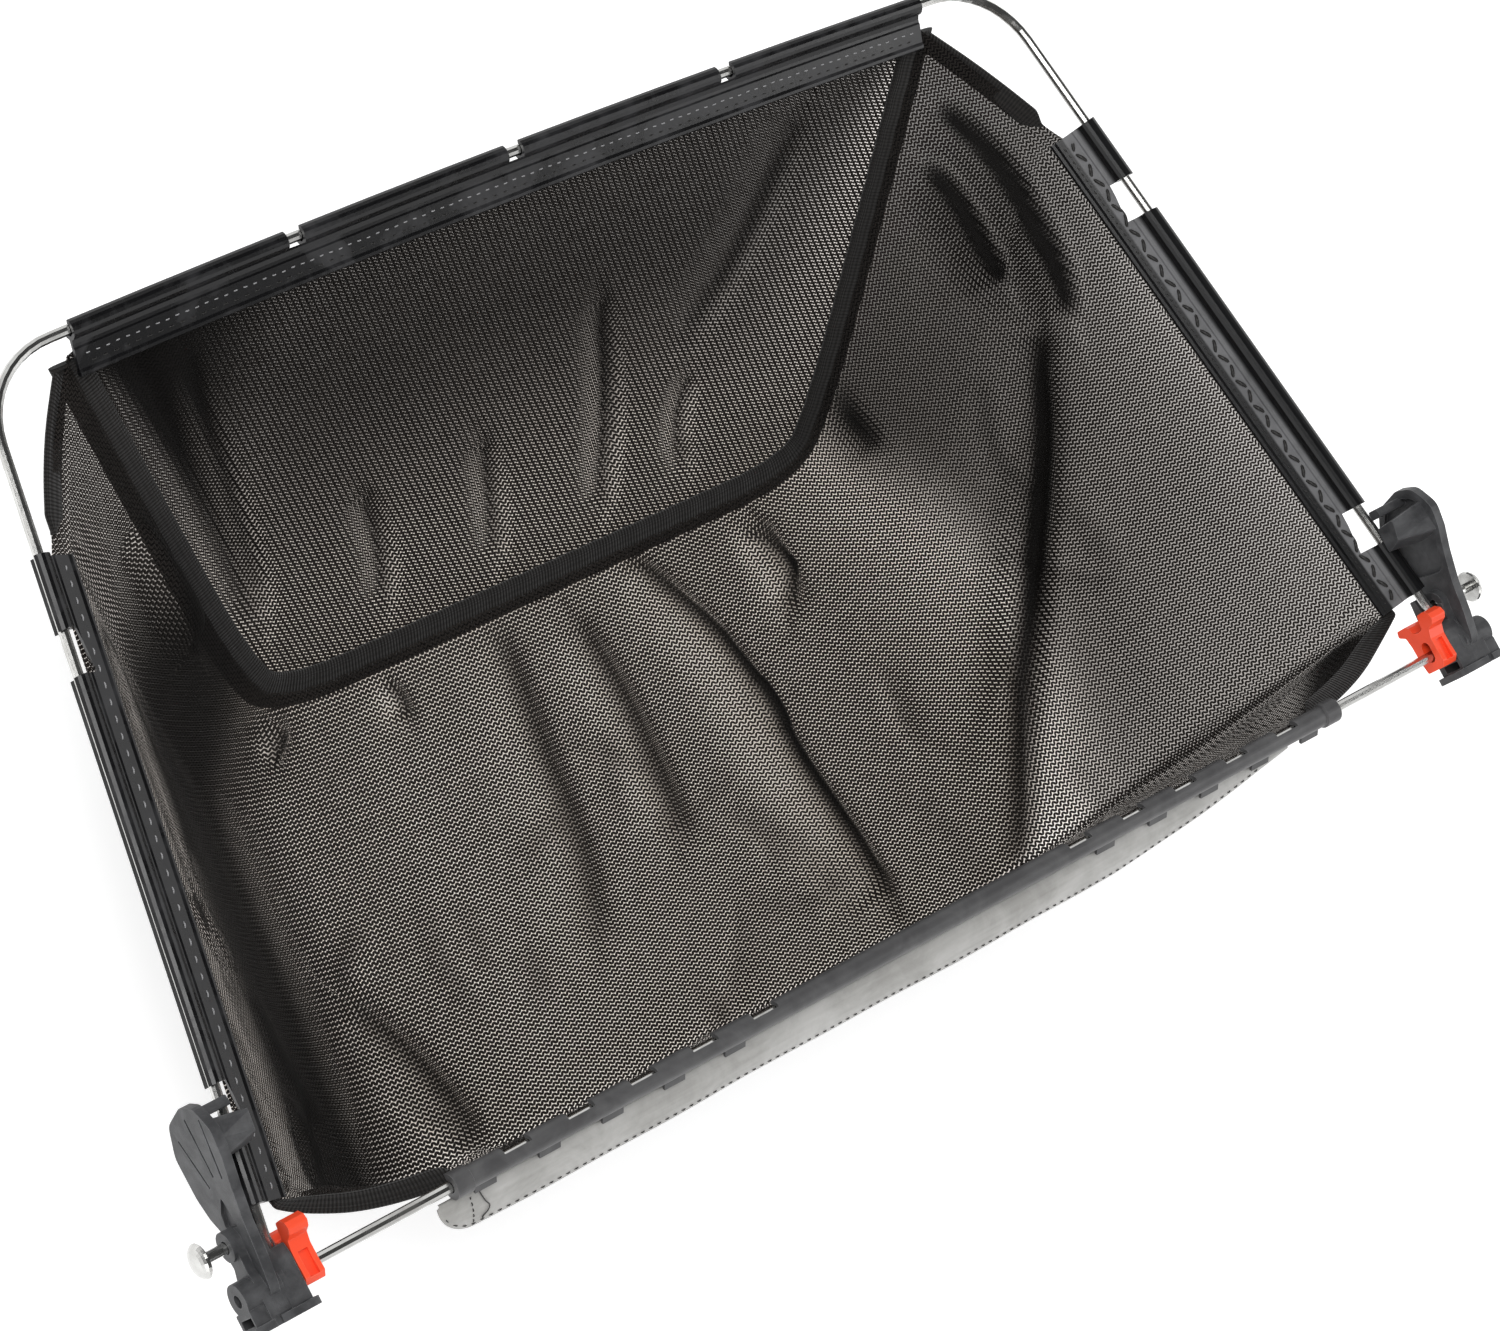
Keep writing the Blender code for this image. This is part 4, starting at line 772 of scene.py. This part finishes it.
seam = seam_outline(SEAM_STEPS)
outer_line = beside(seam, SEAM_OUT)
inner_line = beside(seam, -SEAM_IN)
for line in (outer_line, inner_line):
    line[:, 1] = np.maximum(line[:, 1], 2.0)
lifted = np.array([0.0, BACK_DOWN[1], -BACK_DOWN[0]]) * 0.4
pucker = 0.35 * np.sin(np.arange(SEAM_STEPS) * 0.9)[:, None]
lay_tape("seam_tape", on_back(outer_line) + lifted, on_back(inner_line) + lifted * (1 + pucker),
         SEAM_TAPE_T, tape_black, "seam_binding")

# The corner tapes: the same webbing, folded over the free edge of the net where the bag
# crosses an open corner of the mouth.
for name, t0, t1, sign in (("left_back", 0.0, 0.2, 1), ("left_front", 0.715, 0.986, 1),
                           ("right_back", 0.0, 0.2, -1), ("right_front", 0.715, 0.986, -1)):
    near, far = [], []
    for t in np.linspace(t0, t1, 90):
        top, into, _ = at_station(float(t))
        away = -into / np.linalg.norm(into)
        full = float(ease((t - t0) / (t1 - t0) / 0.12) * ease((t1 - t) / (t1 - t0) / 0.12))
        near.append(top - away * (1.5 + 3.2 * full))
        far.append(top + away * 2.8 * full)
    near, far = (np.array(line) * np.array([sign, 1, 1]) for line in (near, far))
    lay_tape(name + "_tape", near, far, CORNER_TAPE_T, tape_black, name + "_binding")

# The slider sheet: tough silver-grey plastic sheet, cut to a long crescent and held below the
# front clip, so that hedge tops slide over it. Its edge is sewn with dark thread.
SHEET_DROP = 14.4
SHEET_LEFT = -191.0
SHEET_RIGHT = 166.0
SHEET_TAPER = 81.0
SHEET_END_R = 13.0
SHEET_START = 5.5


def sheet_width(x):
    """How far the sheet reaches below the clip."""
    rounding = np.clip((x - SHEET_LEFT) / SHEET_END_R, 0, 1)
    taper = np.clip((x - SHEET_RIGHT + SHEET_TAPER) / SHEET_TAPER, 0, 1)
    return SHEET_DROP * np.sqrt(1 - (1 - rounding) ** 2) * (1 - 0.95 * taper ** 1.35) + 0.15


def on_sheet(x, share, off=0.0):
    """Points of the sheet: it leaves the clip forward and down, bowed and a little wavy."""
    x, share = np.broadcast_arrays(np.asarray(x, float), np.asarray(share, float))
    width = sheet_width(x)
    wave = 0.35 * np.sin(x / 23.0 + 0.8) * share ** 2 + 0.2 * np.sin(x / 9.1) * share ** 3
    out = 1.6 * 4 * share * (1 - share) * width / SHEET_DROP + wave + off
    y = -0.574 * SHEET_START - 0.7071 * width * share - 0.7071 * out
    z = -0.819 * SHEET_START - 0.7071 * width * share + 0.7071 * out
    return np.stack([x, y, z], axis=-1)


sheet_x = np.r_[SHEET_LEFT + SHEET_END_R * (1 - np.cos(np.linspace(0.12, math.pi / 2, 16))),
                np.linspace(SHEET_LEFT + SHEET_END_R, SHEET_RIGHT, 220)[1:]]
sheet_share = np.linspace(0, 1, 17)[:, None]
sheet_grid = on_sheet(sheet_x[None, :], sheet_share)
sheet_depth = -sheet_share * sheet_width(sheet_x)[None, :]
sheet_flat = np.stack(np.broadcast_arrays(sheet_x[None, :], sheet_depth), axis=2)
film, tree, shader = new_material("silver_slider_film")
where = node(tree, "TexCoord").outputs["Object"]
smudge = use_group(tree, handling, Size=0.022, Low=0.4, High=0.66)["Mask"]
drawn_out = node(tree, "VectorMath", {0: where, 1: (12.0, 190.0, 190.0)}, operation="MULTIPLY").outputs[0]
streak = node(tree, "TexNoise", {"Vector": drawn_out, "Scale": 3.0, "Detail": 5.0})
streaked = sums(tree, "MULTIPLY", streak.outputs["Fac"], 0.5)
both = sums(tree, "ADD", sums(tree, "MULTIPLY", smudge, 0.55), streaked, clamp=True)
colour(tree, shader, both, (0.50, 0.495, 0.48), (0.27, 0.265, 0.25))
roughness(tree, shader, both, 0.3, 0.5)
relief(tree, shader, streak.outputs["Fac"], 0.3, 0.0003)
sheet = lay_cloth("slider_film", sheet_grid, 0.8, sheet_flat, np.zeros(sheet_grid.shape[:2]))
sheet.data.materials.append(film)
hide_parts("slider_sheet")
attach(sheet, "root")

# The threads: black and grey polyester, sewn through the webs and the film. They come up in
# short stitches and go down again.
WEB_TILT = math.radians(30.0)
BACK_BOW = 3.5


def new_thread(name, dark, light, rough):
    made, tree, shader = new_material(name)
    where = node(tree, "TexCoord").outputs["Object"]
    twist = node(tree, "TexWave", {"Vector": where, "Scale": 900.0, "Distortion": 3.0},
                 bands_direction="DIAGONAL")
    colour(tree, shader, twist.outputs["Fac"], dark, light)
    shader.inputs["Roughness"].default_value = rough
    return made


thread_black = new_thread("black_thread", (0.003, 0.003, 0.003), (0.03, 0.028, 0.026), 0.42)
thread_grey = new_thread("grey_thread", (0.16, 0.16, 0.165), (0.42, 0.42, 0.43), 0.5)


def lay_thread(name, path, diameter, material, sides=6):
    """A thread swept along its points."""
    path = np.asarray(path, float)
    along = np.gradient(path, axis=0)
    along /= np.linalg.norm(along, axis=1)[:, None]
    side = np.cross(along, [0.13, 0.21, 0.97])
    side /= np.linalg.norm(side, axis=1)[:, None]
    up = np.cross(side, along)
    turn = np.linspace(0, 2 * math.pi, sides + 1)[:-1]
    round_off = side[:, None] * np.cos(turn)[None, :, None] + up[:, None] * np.sin(turn)[None, :, None]
    rings = path[:, None] + diameter / 2 * round_off
    faces = [(a * sides + b, a * sides + (b + 1) % sides, (a + 1) * sides + (b + 1) % sides,
              (a + 1) * sides + b) for a in range(len(path) - 1) for b in range(sides)]
    faces += [tuple(range(sides))[::-1], tuple(range((len(path) - 1) * sides, len(path) * sides))]
    mesh = bpy.data.meshes.new(name)
    mesh.from_pydata([place(q) for q in rings.reshape(-1, 3)], [], faces)
    mesh.shade_smooth()
    made = bpy.data.objects.new(name, mesh)
    bpy.context.collection.objects.link(made)
    mesh.materials.append(material)
    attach(made, "root")
    return made


def side_web(sign, y, reach, off):
    """Points on a side web's upper face, from the way along the leg and the reach off the wire."""
    over = reach * math.cos(WEB_TILT) + off * math.sin(WEB_TILT)
    x = side_x(y) - over * math.cos(leg_lean)
    z = off * math.cos(WEB_TILT) - reach * math.sin(WEB_TILT)
    return np.stack([sign * x, y - over * math.sin(leg_lean), z], axis=-1)


def back_web(x, reach, off):
    """The same on the back web."""
    y = FRAME_DEPTH + BACK_BOW * (1 - (2 * x / BACK_W) ** 2)
    y = y - reach * math.cos(WEB_TILT) - off * math.sin(WEB_TILT)
    return np.stack([x, y, off * math.cos(WEB_TILT) - reach * math.sin(WEB_TILT)], axis=-1)


run = np.linspace(25, 213.5, 1500)
phase = run / 5.2 * 2 * math.pi
lay_thread("right_web_thread", side_web(1, run, 8.3 + 0.85 * np.sin(phase / 2), 0.66 + 0.68 * np.cos(phase)),
           1.2, thread_black)
phase = phase * 2.1
lay_thread("right_web_seam", side_web(1, run, 11.4 + 0.1 * np.sin(phase), 0.55 + 0.3 * np.cos(phase)),
           0.4, thread_black)
phase = run / 5.2 * 2 * math.pi
lay_thread("left_web_thread", side_web(-1, run, 9.8 + 0.1 * np.sin(phase), 0.22 + 0.6 * np.cos(phase)),
           0.55, thread_grey)
run = np.linspace(-167, 167, 2400)
phase = run / 3.6 * 2 * math.pi
lay_thread("back_web_thread", back_web(run, 8.6 + 0.12 * np.sin(phase / 3), 0.3 + 0.5 * np.cos(phase)),
           0.45, thread_grey)
off = 0.42 + 0.45 * np.cos(phase * 0.9)
lay_thread("back_web_seam", back_web(run, 11.2 + 0.12 * np.sin(phase / 4), off), 0.4, thread_black)
run = np.linspace(SHEET_LEFT + 2, SHEET_RIGHT - 14, 2200)
phase = run / 3.2 * 2 * math.pi
share = 1 - 1.5 / sheet_width(run)
lay_thread("film_edge_thread", on_sheet(run, share, 0.25 + 0.4 * np.cos(phase)), 0.4, thread_black)
across = np.linspace(0.14, 0.93, 140)
off = 0.3 + 0.35 * np.cos(across * 40)
lay_thread("film_end_thread", on_sheet(SHEET_LEFT + 10.5 + 1.2 * across, across, off), 0.42, thread_black)
curl = cut_corners([(0, 0), (1.5, 0.3), (2.4, 0.42), (3.6, 0.52), (3.0, 0.66), (1.8, 0.72), (0.9, 0.8),
                    (1.6, 0.86)], 3)
lay_thread("film_loose_thread", on_sheet(SHEET_LEFT + 13.5 + curl[:, 0], curl[:, 1], 0.75),
           0.4, thread_black)
